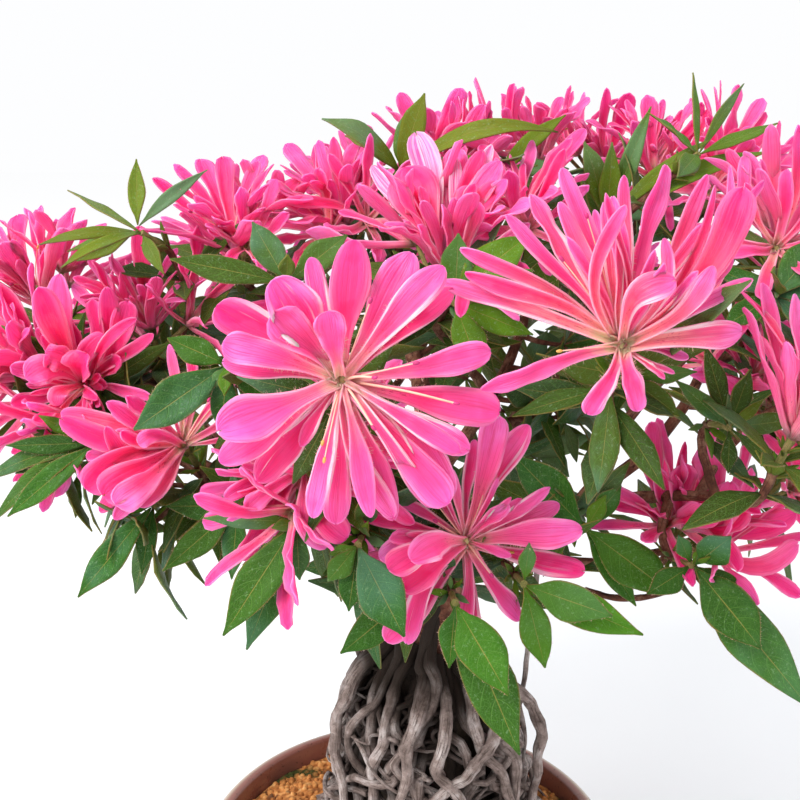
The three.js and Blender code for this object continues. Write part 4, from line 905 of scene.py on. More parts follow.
# %% Petals on every head
claws = []
for number, (name, at, facing, rows) in enumerate(HEADS):
    draw = dice(900 + number)
    blades = Blades()
    fine = (19, 9) if name in INNER_PETALS else (15, 7)
    ribbon = RIBBONS.get(name, 0.3 + 0.6 * draw())
    deep = DEEP.get(name, 0.25 + 0.45 * draw())
    look = (deep, CORAL.get(name, 0.4 + 0.6 * draw()), EDGED.get(name, 0.5))
    for index, strap in enumerate(flowers[name]):
        grid = petal_grid(strap, draw, *fine, ribbon * (0.45 + 0.55 * draw()))
        tint = petal_look(*look, draw)
        if name in SHADES:
            tint = (SHADES[name][index], *tint[1:])
        blades.add(grid, PETAL_THICKNESS, tint)
        if name in INNER_PETALS:
            claws.append(grid)
    for tip, width, bow, lean, *own in LONE_PETALS.get(name, ()):
        grid = petal_grid(Reach(at, tip, FRONT, width, bow, lean), draw, *fine, 0.5 * (width < 5))
        tint = petal_look(*look, draw)
        if own and own[0] > 1:
            tint = (0.0, own[0], 0.3 * draw())
        elif own:
            tint = (1.0, own[0], tint[2])
        blades.add(grid, PETAL_THICKNESS, tint)
    wanted = INNER_PETALS.get(name, SPARSE.get(name, MANY))
    narrow_petals(blades, at, facing, flowers[name], wanted, ribbon, look, draw)
    blades.piece("petals_" + name, PETAL, "petal", "bloom_" + name)
print(sum(len(straps) for straps in flowers.values()), "petals follow their solids")

# %% [markdown]
# ## Leaves
# The leaves are leathery and pointed at both ends, folded a little along the midrib, and quilted
# between their side veins. They are made like the petals, with another outline. Their colour tells
# their age: deep green on old leaves, yellow-green on young ones, olive where they are tinged.

# %% The shape of a leaf
LEAF_THICKNESS = 0.32


def leaf_grid(strap, draw, rows=15, columns=7, slender=0.0):
    """A pointed blade, or a narrow one that twists on its way where slender is near one."""
    share = np.linspace(0, 1, rows) ** 0.95
    middle, side, face = strap.along(share)
    middle[0] = strap.centre + strap.outwards * 0.35 * strap.hub - strap.axis * 0.3
    broad = 0.42 + 0.12 * draw()
    bow = np.where(share < broad, share / broad, ((1 - share) / (1 - broad)) ** 1.15)
    slim = (0.78 + 0.2 * draw()) * (1 - 0.4 * slender)
    wide = slim * strap.width * np.maximum(np.sin(math.pi / 2 * np.clip(bow, 0, 1)) ** 0.95, 0.045)
    fold, droop = 0.1 + 0.22 * draw(), strap.length * (0.02 + 0.05 * draw())
    phase, strength = TURN * draw(), 0.03 + 0.05 * draw()
    twist = math.radians(24 + 100 * slender) * (draw() - 0.5) * share
    turned, lifted = twisted(side, face, twist)
    grid = np.empty((rows, columns, 3))
    for column, x in enumerate(np.linspace(-1, 1, columns)):
        wave = strength * x * x * np.sin(13 * share + phase + 2 * x)
        uneven = 1 + 0.06 * np.sin(10 * share + 3 * phase + 2 * x)
        quilt = 0.012 * np.sin(TURN * (6.5 * share - 1.1 * abs(x))) * (1 - x * x) * abs(x) ** 0.5
        rise = wide * (fold * abs(x) ** 1.4 * 0.5 + wave + quilt)
        rise -= droop * np.sin(math.pi * share) * 0.3
        grid[:, column] = middle + turned * (x * uneven * wide / 2)[:, None] + lifted * rise[:, None]
    return grid


def leaf_look(draw, young, tinged, spread, below=0.0):
    """How young and how tinged one leaf of a shoot is, and a number of its own."""
    young = np.clip(young + spread[0] * (draw() - below), 0, 1)
    tinged = np.clip(tinged + spread[1] * (draw() - below), 0, 1)
    return young, tinged, draw()


print("a leaf is", LEAF_THICKNESS, "mm thick")

# %% [markdown]
# A leaf's finish starts from the green of its age. Veins, midrib and rim are drawn on it from the
# leaf's own UV map, and stand up a little in relief, so that light catches them as on leather.

# %% The finish of leaves
def leaf_finish():
    finish = Finish("azalea_leaf")
    across, down, edge, own, young, tinged, under = finish.blade()
    mottle = finish.noise(finish.place, 300, 4)
    old = finish.mix(mottle, (0.008, 0.048, 0.004), (0.024, 0.105, 0.008))
    fresh = finish.mix(mottle, (0.055, 0.19, 0.003), (0.11, 0.28, 0.006))
    olive = finish.mix(young, (0.028, 0.027, 0.004), (0.16, 0.15, 0.010))
    colour = finish.mix(tinged * 0.8, finish.mix(young, old, fresh), olive)
    colour = finish.mix(under * 0.6, colour, (0.13, 0.13, 0.02))

    # Side veins loop forward from the midrib, with a fine net between them.
    looped = down * 7.5 + edge * (edge * -0.9 - 0.7)
    comb = finish.math("ABSOLUTE", finish.math("FRACT", looped) - 0.5)
    rib = (1 - comb.rise(0.0, 0.07)) * (1 - edge.rise(0.65, 0.95))
    midrib = 1 - edge.rise(0.008, 0.045)
    net_place = finish.join(across * 14.0, down * 30.0, own * 9.0)
    net = finish.add("ShaderNodeTexVoronoi", {"Vector": net_place, "Scale": 1.0}, "Distance",
                     feature="DISTANCE_TO_EDGE")
    veins = finish.math("MAXIMUM", rib * 0.7, (1 - net.rise(0.0, 0.12)) * 0.35)
    colour = finish.mix(veins * 0.6, colour, (0.13, 0.29, 0.05))
    colour = finish.mix(midrib * 0.7, colour, (0.24, 0.22, 0.05))

    # A thin brown rim, a painted silvery sheen on some leaves, and painted pale glints of fine hairs
    # that catch the light.
    teeth = finish.noise(net_place, 4.0, 1)
    colour = finish.mix((teeth * 0.1 + edge).rise(0.99, 1.04) * 0.5, colour, (0.22, 0.13, 0.035))
    silver_sheen = own.rise(0.25, 0.9) * finish.noise(finish.place, 55, 3).rise(0.4, 0.65)
    colour = finish.mix(silver_sheen * 0.5, colour, (0.10, 0.23, 0.16))
    sheen = finish.noise(finish.place, 1700, 2).rise(0.6, 0.7)
    colour = finish.mix(sheen * 0.22, colour, (0.30, 0.44, 0.26))
    finish.relief(mottle * 0.4 - finish.math("MAXIMUM", veins, midrib), 0.0004, 0.6)
    return finish.shade(Base_Color=colour, Roughness=mottle * 0.25 + 0.32, Specular_IOR_Level=0.16,
                        Subsurface_Weight=0.1, Subsurface_Radius=(0.001, 0.003, 0.0008),
                        Subsurface_Scale=0.5)


LEAF = leaf_finish()
print("leaves have", len(LEAF.node_tree.nodes), "nodes in their finish")

# %% [markdown]
# The shoots are dressed like the flowers: large leaves on their solids, a few long ones that reach
# out where a real crown has them, and small ones beside them in the whorl.

# %% Leaves on every shoot
# How young and how tinged the leaves of a shoot are, where they aren't old and plain green.
AGES = {
    "bottom": (0.25, 0.0), "bottom_right": (0.5, 0.0), "right_low_front": (0.2, 0.0),
    "right_of_trunk": (0.15, 0.0), "between_fronts": (0.7, 0.3), "top_left": (0.7, 0.75),
    "left_top": (0.75, 0.75), "top_right": (0.7, 0.3), "top_right_back": (0.6, 0.5),
    "top_middle": (0.6, 0.6), "right_narrow": (0.2, 0.7), "under_front_right": (0.4, 0.6),
    "behind_front_left": (0.3, 0.5),
}
# Long leaves that reach out between the flowers: where the tip is, the width and the bow.
LONE_LEAVES = {
    "left_top": (((-84, -4, 210), 3.6, 0.12), ((-77, -12, 206), 3.4, 0.14)),
    "top_left": (((-21, 22, 237), 6.5, 0.2), ((36, 18, 234), 5, 0.24), ((4, 24, 243), 7, 0.05)),
    "top_middle": (((26, 6, 229), 7.5, 0.12), ((38, 20, 238), 5, 0.1)),
    "top_right": (
        ((48, 12, 232), 5.5, 0.06), ((42, 16, 232), 6, 0.08), ((58, 18, 240), 4.6, 0.08),
        ((69, 4, 233), 4.2, 0.14), ((84, 8, 230), 5.6, 0.16)),
    "between_fronts": (((24, -34, 216), 8.5, 0.14),),
    "under_front_right": (((54, -80, 215), 6, 0.12),),
    "right_top": (((86, -26, 214), 8.5, 0.16), ((68, -48, 211), 5, 0.12)),
    "left_low_edge": (((-98, -20, 158), 5.5, 0.14), ((-94, -24, 150), 5, 0.16)),
}
# Young whorls at the top have narrow leaves that twist.
SLENDER = {"left_top": 0.7, "top_right_back": 0.6, "top_right": 0.5, "top_left": 0.4}
# Shoots that stand free have no small leaves beside the large ones.
FREE = ("left_top", "top_left", "top_right", "top_right_back", "right_top", "bottom", "bottom_right",
        "between_fronts", "under_front_right")
edges = []
for number, (name, at, facing, rows) in enumerate(SHOOTS):
    draw = dice(300 + number)
    young, tinged = AGES.get(name, (0.05, 0.05))
    blades = Blades()
    for strap in shoots[name]:
        look = leaf_look(draw, young, tinged, (0.3, 0.5), 0.5)
        edges.append(leaf_grid(strap, draw, slender=SLENDER.get(name, 0.0)))
        blades.add(edges[-1], LEAF_THICKNESS, look)
    for tip, width, bow in LONE_LEAVES.get(name, ()):
        look = leaf_look(draw, young, tinged, (0.4, 0.5))
        edges.append(leaf_grid(Reach(at, tip, (0, -0.8, 0.6), width, bow), draw))
        blades.add(edges[-1], LEAF_THICKNESS, look)
    for beside in range(0 if name in FREE else 2):
        model = shoots[name][int(draw() * len(shoots[name]))]
        row = (model.clock + 35 + 50 * draw(), 40 + 50 * draw(), model.length * (0.35 + 0.3 * draw()),
               model.width * (0.35 + 0.3 * draw()), 10 + 20 * draw(), 20 * (draw() - 0.5))
        strap = Strap(np.asarray(at) + unit(facing) * 0.8, facing, row, 0.9)
        look = leaf_look(draw, young + 0.3, tinged, (0.3, 0.4))
        blades.add(leaf_grid(strap, draw, 9, 5), LEAF_THICKNESS, look)
    blades.piece("leaves_of_" + name, LEAF, "leaf", "leaves_" + name)
print(sum(len(straps) for straps in shoots.values()), "leaves follow their solids")

# %% [markdown]
# ## The pot
# The pot was thrown on a wheel, so one outline turned round the axis makes it: foot ring, belly,
# a thick lip that rolls over, and a smooth inner wall. The outline keeps to the solid pot's
# dimensions, with the corners eased as glaze eases them.

# %% Turn the pot
def ring_quads(rings, sides):
    """The quads of a closed surface of rings, whose last ring joins the first."""
    index = np.arange(rings * sides).reshape(rings, sides)
    after = np.roll(index, -1, axis=1)
    return np.stack([index, after, np.roll(after, -1, 0), np.roll(index, -1, 0)], -1).reshape(-1, 4)


def turned_mesh(name, outline, sides):
    angles = np.linspace(0, 2 * math.pi, sides, endpoint=False)
    radii, heights = np.asarray(outline, float).T[:, :, None]
    heights = np.repeat(heights, sides, 1)
    points = np.stack([radii * np.cos(angles), radii * np.sin(angles), heights], -1)
    return new_mesh(name, points.reshape(-1, 3), ring_quads(len(outline), sides).tolist())


def eased(corners, radius, steps=4):
    """An outline whose corners are rounded off by short curves."""
    corners = np.asarray(corners, float)
    result = []
    for before, corner, after in zip(np.roll(corners, 1, 0), corners, np.roll(corners, -1, 0)):
        into, out = before - corner, after - corner
        reach = min(radius, 0.45 * np.linalg.norm(into), 0.45 * np.linalg.norm(out))
        start, end = corner + unit(into) * reach, corner + unit(out) * reach
        for share in np.linspace(0, 1, steps):
            result.append(start * (1 - share) ** 2 + corner * 2 * share * (1 - share) + end * share**2)
    return result


POT_OUTLINE = [
    (32, 0), (37, 0), (37, 4), (44, 8), (50, 21), (52.2, 34), (53, 43), (55, 45.4), (55, 49),
    (53.6, 50), (51.3, 50), (50.6, 46), (50.2, 37), (46, 21), (40, 8.5), (7, 8.5), (7, 4), (32, 4),
]
pot_mesh = turned_mesh("glazed_pot", eased(POT_OUTLINE, 1.4), 96)
print("the pot's outline has", len(POT_OUTLINE), "corners")


# %% [markdown]
# The glaze is reddish brown and glossy. It broke thin over the lip in the kiln, where it turned a pale
# beige. Fine crackle and faint throwing rings catch the light.

# %% The finish of the pot
def glaze_finish():
    finish = Finish("pot_glaze")
    _, _, height = finish.parts(finish.place)
    cloud = finish.noise(finish.place, 60, 5)
    speck = finish.noise(finish.place, 900, 2)
    colour = finish.mix(cloud, (0.17, 0.055, 0.040), (0.29, 0.105, 0.078))
    colour = finish.mix(speck.rise(0.62, 0.72), colour, (0.09, 0.03, 0.02))
    near_rim = (cloud * 0.003 + height).rise(0.0462, 0.0495)
    outer = finish.away_from(POT_AXIS).rise(0.0524, 0.0540)
    colour = finish.mix(near_rim * outer * 0.85, colour, (0.42, 0.33, 0.24))
    rings = finish.add("ShaderNodeTexWave", {"Vector": finish.place, "Scale": 90.0, "Distortion": 0.6},
                       "Fac", bands_direction="Z")
    finish.relief(rings * 0.3 + speck, 0.0002, 0.25)
    return finish.shade(Base_Color=colour, Roughness=cloud * 0.25 + 0.16,
                        Specular_IOR_Level=0.5, Coat_Weight=0.5, Coat_Roughness=0.12)


finished("glazed_pot", pot_mesh, glaze_finish(), "pot", "pot")
print("the pot has", len(pot_mesh.polygons), "faces")

# %% [markdown]
# ## The soil
# Bonsai soil is crushed clay, in orange-brown crumbs of two or three millimetres. Under the crumbs
# lies one bed with low bumps. Geometry Nodes scatter the crumbs over it, each a small uneven stone
# turned its own way, because they repeat by the hundred. Dark moss grows between the roots.

# %% The soil bed
BED_SIDES = 84


def soil_height(radius):
    return 44.3 + 2.6 * smooth(50.5, 38, radius)


def bed_ring(radius, height, bumps=0.4):
    x, y = radius * np.cos(bed_turns), radius * np.sin(bed_turns)
    grains = np.sin(x * 0.93 + y * 0.31) * np.sin(y * 1.07 - x * 0.42)
    return np.stack([x, y, height + bumps * grains], -1)


bed_turns = np.linspace(0, 2 * math.pi, BED_SIDES, endpoint=False)
radii = np.concatenate([np.linspace(50.1, 49.2, 3), np.linspace(48, 1, 22), [0.02]])
bed_rings = np.stack([bed_ring(0.02, 41, 0), bed_ring(50.1, 41, 0)]
                     + [bed_ring(radius, soil_height(radius)) for radius in radii])
bed_quads = ring_quads(len(bed_rings), BED_SIDES)
bed_mesh = new_mesh("soil_bed", bed_rings.reshape(-1, 3), bed_quads.tolist())


def soil_finish(name, moss):
    finish = Finish(name)
    cloud = finish.noise(finish.place, 220, 4)
    each = finish.noise(finish.place, 420, 1)
    colour = finish.ramp(each, (0.25, (0.16, 0.055, 0.018)), (0.45, (0.42, 0.16, 0.045)),
                         (0.6, (0.60, 0.27, 0.085)), (0.8, (0.70, 0.42, 0.18)))
    colour = finish.mix(cloud.rise(0.55, 0.8), colour, (0.10, 0.05, 0.025))
    patch = finish.noise(finish.place, 70, 3).rise(moss, moss + 0.12)
    colour = finish.mix(patch, colour, (0.045, 0.05, 0.012))
    finish.relief(cloud, 0.0004, 0.7)
    return finish.shade(Base_Color=colour, Roughness=0.95, Specular_IOR_Level=0.2)


finished("soil_bed", bed_mesh, soil_finish("soil_bed", 0.5), "soil", "soil")
print("the bed is", round(float(np.ptp(bed_rings[:, :, 2])), 1), "mm deep at its rim")


# %% [markdown]
# A small builder for Geometry Nodes comes next. It makes a tree with named inputs, adds nodes like
# the builder for materials, and turns the result into a plain mesh, because the scene is kept as
# plain meshes.

# %% A builder for Geometry Nodes
class Recipe(Builder):
    def __init__(self, name, **inputs):
        self.tree = bpy.data.node_groups.new(name, "GeometryNodeTree")
        for way in ("INPUT", "OUTPUT"):
            self.tree.interface.new_socket("Geometry", in_out=way, socket_type="NodeSocketGeometry")
        kinds = {float: "NodeSocketFloat", int: "NodeSocketInt"}
        for key, value in inputs.items():
            kind = kinds.get(type(value), "NodeSocketMaterial")
            socket = self.tree.interface.new_socket(key, in_out="INPUT", socket_type=kind)
            if value is not None:
                socket.default_value = value
        self.inputs = inputs
        self.start = self.node("NodeGroupInput")
        self.end = self.node("NodeGroupOutput")

    def value(self, name):
        return Signal(self, self.start.outputs[name])

    def close(self, geometry):
        """Realize Instances and Set Material end every tree."""
        whole = self.add("GeometryNodeRealizeInstances", {0: geometry})
        whole = self.add("GeometryNodeSetMaterial", {0: whole, "Material": self.value("Material")})
        self.give(self.end.inputs[0], whole)

    def cook(self, name, data, **given):
        """The plain mesh that the tree makes of a mesh or curve, with its inputs set by name."""
        host = new_object(name, data)
        modifier = host.modifiers.new(self.tree.name, "NODES")
        modifier.node_group = self.tree
        for item in self.tree.interface.items_tree:
            if item.in_out == "INPUT" and item.name in self.inputs:
                modifier[item.identifier] = given.get(item.name, self.inputs[item.name])
        graph = bpy.context.evaluated_depsgraph_get()
        mesh = bpy.data.meshes.new_from_object(host.evaluated_get(graph))
        bpy.data.objects.remove(host)
        mesh.name = name
        print(name, "has", len(mesh.polygons), "faces")
        return mesh


print("before the first recipe there are", len(bpy.data.node_groups), "node groups")

# %% [markdown]
# One crumb is an icosphere with its points pushed about. It is set on random points of the open
# part of the bed, each copy turned and sized by a draw of its own.

# %% Scatter the crumbs
crumbs = Recipe("soil_crumbs", Size=1.15 * MM, Spacing=1.35 * MM, Seed=7, Material=None)
spots = crumbs.add("GeometryNodeDistributePointsOnFaces", {
    "Mesh": crumbs.value("Geometry"), "Distance Min": crumbs.value("Spacing"), "Density Max": 420000.0,
    "Seed": crumbs.value("Seed")}, distribute_method="POISSON")
stone = crumbs.add("GeometryNodeMeshIcoSphere", {"Radius": 1.0, "Subdivisions": 2})
bumps = crumbs.add("ShaderNodeTexNoise", {"Scale": 1.1, "Detail": 1.0}, output=1)
bumps = crumbs.vector("SUBTRACT", bumps, (0.5, 0.5, 0.5))
stone = crumbs.add("GeometryNodeSetPosition", {"Geometry": stone, "Offset": bumps})
spin = crumbs.add("FunctionNodeRandomValue", {0: (0.0, 0.0, 0.0), 1: (TURN, TURN, TURN), "Seed": 3},
                  data_type="FLOAT_VECTOR")
girth = crumbs.add("FunctionNodeRandomValue", {2: 0.55, 3: 1.1, "Seed": 5}, output=1, data_type="FLOAT")
crumbs.close(crumbs.add("GeometryNodeInstanceOnPoints", {
    "Points": spots, "Instance": stone, "Rotation": spin, "Scale": girth * crumbs.value("Size")}))

# Only the rings of the bed that the roots and the pot's wall leave open carry crumbs.
FIRST_RING, LAST_RING = 4, 14
open_quads = bed_quads[FIRST_RING * BED_SIDES:LAST_RING * BED_SIDES]
host_mesh = new_mesh("crumb_host", bed_rings.reshape(-1, 3), open_quads.tolist())
crumb_mesh = crumbs.cook("soil_crumbs", host_mesh, Material=soil_finish("soil_crumbs", 0.56))
finished("soil_crumbs", crumb_mesh, None, "soil")

# %% [markdown]
# ## Roots, trunk and branches
# The tree is one growth of round strands: roots, trunk, limbs and twigs. Each is a path with a
# thickness at every point. A Geometry Nodes tree sweeps a round section along all the paths at once,
# and then pushes the surface in and out with noise, as bark does, more on thick limbs than on thin.

# %% The paths of the tree
# Each point of a root: degrees round the trunk, distance from its middle, and height.
FRONT_ROOTS = (
    ((-118, 9, 109), (-122, 20, 97), (-124, 24.5, 84), (-123, 26, 70), (-114, 29, 56), (-112, 31, 44)),
    ((-92, 8, 109), (-96, 20, 99), (-104, 25.5, 88), (-108, 27, 77), (-122, 31, 44)),
    ((-84, 10, 107), (-82, 22, 96), (-86, 26, 85), (-74, 27.5, 74), (-58, 30, 61), (-48, 32, 44)),
    ((-94, 14, 88), (-98, 24, 79), (-86, 27, 68), (-78, 29, 60), (-84, 32, 44)),
    ((-160, 9, 109), (-158, 22, 98), (-156, 27.5, 88), (-146, 27, 74), (-134, 32, 44)),
    ((-34, 10, 109), (-26, 22, 98), (-16, 30, 86), (-26, 29, 70), (-30, 32, 44)),
    ((-48, 16, 92), (-40, 26, 82), (-46, 28, 68), (-78, 32, 54), (-100, 33, 44)),
    ((-60, 9, 108), (-60, 20, 99), (-62, 24, 88), (-46, 28, 76), (-36, 32, 44)),
    ((-36, 19, 98), (-50, 24, 91), (-68, 26.5, 83), (-82, 27, 80), (-96, 27.5, 75), (-108, 32, 46)),
)

# The radius at the start and at the end, the flower it ends in if any, and its points.
LIMBS = (
    (8.5, 4.2, None, ((6, 4, 100), (8, 0, 118), (10, 1, 134), (4, 8, 156))),
    (4.2, 1.5, "top_left_inner", ((5, 6, 152), (3, 14, 172), (-4, 22, 188))),
    (4.6, 2.8, None, ((9, 0, 126), (24, -5, 134), (43, -8, 150))),
    (2.4, 1.3, "front_right", ((42, -7, 149), (43, -26, 164), (41, -42, 178))),
    (2.3, 1.2, "top_right", ((42, -7, 149), (61, 0, 162), (74, 12, 180))),
    (2.2, 1.2, "right_front", ((41, -8, 149), (54, -28, 158), (64, -46, 165))),
    (1.8, 1.0, "right_edge_low", ((26, -5, 135), (44, -12, 135), (66, -12, 140))),
    (4.2, 2.4, None, ((8, 1, 126), (-14, -4, 140), (-38, -6, 152))),
    (2.3, 1.2, "left_edge", ((-37, -6, 151), (-56, -2, 160))),
    (2.2, 1.2, "left_high", ((-36, -6, 151), (-54, 8, 166), (-72, 18, 176))),
    (1.8, 1.0, "left_low", ((-30, -5, 148), (-40, -14, 155))),
    (3.2, 1.8, None, ((7, -2, 122), (0, -20, 140), (-6, -36, 158))),
    (1.8, 1.2, "front_left", ((-6, -35, 157), (-11, -46, 174))),
    (1.7, 1.1, "front_low", ((-3, -28, 149), (4, -36, 154))),
    (2.6, 1.3, "top_inner", ((6, 6, 148), (20, 4, 172), (28, 8, 190))),
    (2.0, 1.2, "top_front", ((20, 4, 172), (12, -8, 186))),
    (3.4, 1.4, "top_right_middle", ((8, 2, 128), (22, 26, 148), (40, 40, 172), (58, 46, 200))),
    (1.8, 1.1, "back_right", ((36, 38, 167), (48, 56, 170))),
    (3.2, 1.3, "back_left", ((6, 4, 128), (-6, 26, 148), (-24, 44, 172))),
    (1.8, 1.1, "back_left_low", ((-16, 36, 161), (-44, 42, 164))),
    (1.8, 1.1, "back_middle", ((-12, 32, 156), (2, 56, 168))),
)

print(len(FRONT_ROOTS), "main roots at the front and", len(LIMBS), "limbs")

# %% [markdown]
# A limb is a smooth curve through a few given points. Small steps aside and knobs where it once
# branched keep it from looking like a pipe.

# %% Lay the limbs
ROOT_CENTRE = (6, 4)
CROWN = np.array((6, 2, 130.0))
STALK_LENGTH, STEM_LENGTH, GAP = 7, 6, 0.35


def catmull(p, t, share):
    at = t[1] + (t[2] - t[1]) * share
    a = [(p[i] * (t[i + 1] - at) + p[i + 1] * (at - t[i])) / (t[i + 1] - t[i]) for i in range(3)]
    b = [(a[i] * (t[i + 2] - at) + a[i + 1] * (at - t[i])) / (t[i + 2] - t[i]) for i in range(2)]
    return (b[0] * (t[2] - at) + b[1] * (at - t[1])) / (t[2] - t[1])


def curve_through(points, count):
    """Evenly spaced points on a centripetal Catmull-Rom curve."""
    points = np.asarray(points, float)
    padded = np.concatenate([[2 * points[0] - points[1]], points, [2 * points[-1] - points[-2]]])
    knots = np.concatenate([[0], np.cumsum(np.linalg.norm(np.diff(padded, axis=0), axis=1) ** 0.5)])
    samples = []
    for i in range(1, len(padded) - 2):
        for share in np.linspace(0, 1, 16, endpoint=False):
            samples.append(catmull(padded[i - 1:i + 3], knots[i - 1:i + 3], share))
    samples = np.array(samples + [padded[-2]])
    walked = np.concatenate([[0], np.cumsum(np.linalg.norm(np.diff(samples, axis=0), axis=1))])
    even = np.linspace(0, walked[-1], count)
    return np.stack([np.interp(even, walked, samples[:, axis]) for axis in range(3)], -1)


def foot_of(at, axis, length):
    """Where a stalk or stem of this length meets its twig, the way it points, and its hub."""
    return np.asarray(at) - axis * (length + 1.3 * GAP), axis, np.asarray(at, float)


feet = {}
for name, at, facing, rows in HEADS:
    feet["bloom_" + name] = foot_of(at, unit(STEMS.get(name, facing)), STALK_LENGTH)
for name, at, facing, rows in SHOOTS:
    axis = unit(np.asarray(facing, float) + 0.6 * unit((at[0], at[1], 0)))
    feet["leaves_" + name] = foot_of(at, axis, STEM_LENGTH)

strands = {}


def add_strand(kind, path, radii):
    strands.setdefault(kind, []).append((np.asarray(path, float), np.asarray(radii, float)))


def knobbly(radii, draw, amount):
    """Swellings along a limb, where it once branched."""
    walk = np.convolve(jitter(draw, len(radii)), [0.25, 0.5, 0.25], "same")
    return np.asarray(radii) * (1 + amount * walk)


def wandering(path, draw, size):
    """The path with small steps aside that fade out at both its ends."""
    ease = np.sin(np.linspace(0, math.pi, len(path)))[:, None]
    return path + np.cumsum(jitter(draw, len(path), 3), 0) * size * ease


LIMB_POINTS = 26
draw = dice(41)
forks = []
for number, (thick, thin, head, points) in enumerate(LIMBS):
    route = [np.array(point, float) for point in points]
    if head:
        foot, axis, _ = feet["bloom_" + head]
        route += [foot - axis * 7, foot]
    slim = (0.78, 0.6) if number else (1, 0.85)
    radii = np.linspace(thick, thin, LIMB_POINTS) * np.linspace(*slim, LIMB_POINTS)
    if head:
        radii[-5:] = np.linspace(radii[-5], 0.95, 5)
    path = wandering(curve_through(route, LIMB_POINTS), draw, 0.28)
    add_strand("limbs", path, knobbly(radii, draw, 0.16))
    if number:
        ends = LIMB_POINTS - (5 if head else 1)
        forks += list(zip(path[6:ends], radii[6:ends]))
print(len(LIMBS), "limbs")


# %% [markdown]
# Twigs leave the limbs at the fork that is nearest to a stalk's foot and not far from the crown,
# as the solid tree's twigs do, and they arrive in line with the stalk.

# %% Twigs, stalks and stems
TWIG_POINTS = 16


def best_fork(foot):
    cost = [np.linalg.norm(point - foot) + 0.25 * np.linalg.norm(point - CROWN) for point, _ in forks]
    return forks[int(np.argmin(cost))]


def twig_between(foot, axis, draw):
    point, radius = best_fork(foot)
    reach = np.linalg.norm(point - foot)
    middle = (foot - axis * 0.4 * reach) * 0.65 + point * 0.35
    path = wandering(curve_through([point, middle, foot - axis, foot], TWIG_POINTS), draw, 0.3)
    thick = min(radius, 1 + 0.012 * reach)
    add_strand("limbs", path, knobbly(np.linspace(thick, 0.85, TWIG_POINTS), draw, 0.25))
    return path


# One thin bare twig at the right, below the leaves.
low_twig = curve_through([(62, -24, 134.5), (54, -24, 132), (47, -22, 131), (41, -20, 132)], 20)
add_strand("limbs", low_twig, knobbly(np.linspace(0.65, 0.8, 20), draw, 0.4))
ending = {"bloom_" + row[2] for row in LIMBS if row[2]}
twigs = {}
for name, (foot, axis, hub) in feet.items():
    if name not in ending:
        twigs[name] = twig_between(foot, axis, draw)
    thin = 0.75 if name.startswith("bloom") else 0.6
    path = curve_through([foot - axis * 0.8, (foot + hub) / 2, hub], 9)
    shape = np.interp(np.linspace(0, 1, 9), (0, 0.15, 0.8, 1), (thin * 1.3, thin, thin, thin * 1.35))
    add_strand("stalks", path, shape)
print(len(twigs), "twigs and", len(feet), "stalks")


# %% [markdown]
# The exposed roots flow down from the crown, split, cross each other and run into the soil. Nine
# at the front are laid point by point, as the solid tree's main roots are. The others, thick and
# thin, wander down the same swelling outline by a rule, in layers, so that they cover the core from
# every side.

# %% Roots
def around_trunk(rows):
    rows = np.asarray(rows, float)
    turn = np.radians(rows[:, 0])
    return np.stack([ROOT_CENTRE[0] + rows[:, 1] * np.cos(turn),
                     ROOT_CENTRE[1] + rows[:, 1] * np.sin(turn), rows[:, 2]], -1)


OUTLINE = np.array(((6, 116), (8, 109), (18, 98), (24, 84), (26, 68), (29, 52), (32, 43)), float)


def outline_at(height):
    return np.interp(-height, -OUTLINE[:, 1], OUTLINE[:, 0])


def swing(draw, count, bends, size):
    """A wandering number along a path: a slow swing with a quicker one on top."""
    way = bends * np.linspace(0, 1, count)
    return size * (np.sin(TURN * (way + draw())) + 0.45 * np.sin(TURN * (2.3 * way + draw())))


def swing_aside(draw, count, bends, size):
    return np.stack([swing(draw, count, bends, size) for _ in range(3)], -1)


def root_path(draw, start, end, layer, bends, size, count=34):
    """From one (degrees, height) to another, on the outline, swinging sideways and in and out."""
    way = np.linspace(0, 1, count)
    heights = start[1] + (end[1] - start[1]) * way + swing(draw, count, bends, 0.5 * size)
    turn = start[0] + (end[0] - start[0]) * way + np.degrees(swing(draw, count, bends, size) / 24)
    distance = outline_at(heights) + layer + swing(draw, count, bends, 0.45 * size)
    return around_trunk(np.stack([turn, distance, heights], -1))


def root(draw, path, thick, thin, knobs=0.5):
    add_strand("roots", path, knobbly(np.linspace(thick, thin, len(path)), draw, knobs))


FRONT_POINTS, FINE_POINTS, COLLAR_POINTS = 72, 22, 60
draw = dice(77)
for route in FRONT_ROOTS:
    path = curve_through(around_trunk(route), FRONT_POINTS)
    ease = np.sin(np.linspace(0, math.pi, FRONT_POINTS))[:, None]
    root(draw, path + swing_aside(draw, FRONT_POINTS, 2.6, 0.8) * ease, 1.8, 1.0, 0.45)

# Thick roots under the others, and the main ones over them, from the collar to the soil.
for index in range(22):
    turn = 16.5 * (index + 0.7 * draw())
    path = root_path(draw, (turn, 114), (turn + 60 * (draw() - 0.5), 42), -5.0, 1.5 + draw(), 1.6)
    root(draw, path, 1.5 + 0.7 * draw(), 1.1)
for index in range(17):
    turn = 21 * (index + 0.7 * draw())
    start, end = (turn, 112 - 12 * draw()), (turn + 60 * (draw() - 0.5), 42)
    path = root_path(draw, start, end, -1.4, 1.8 + 1.6 * draw(), 2.6)
    root(draw, path, 1.2 + 0.8 * draw(), 0.8 + 0.5 * draw())

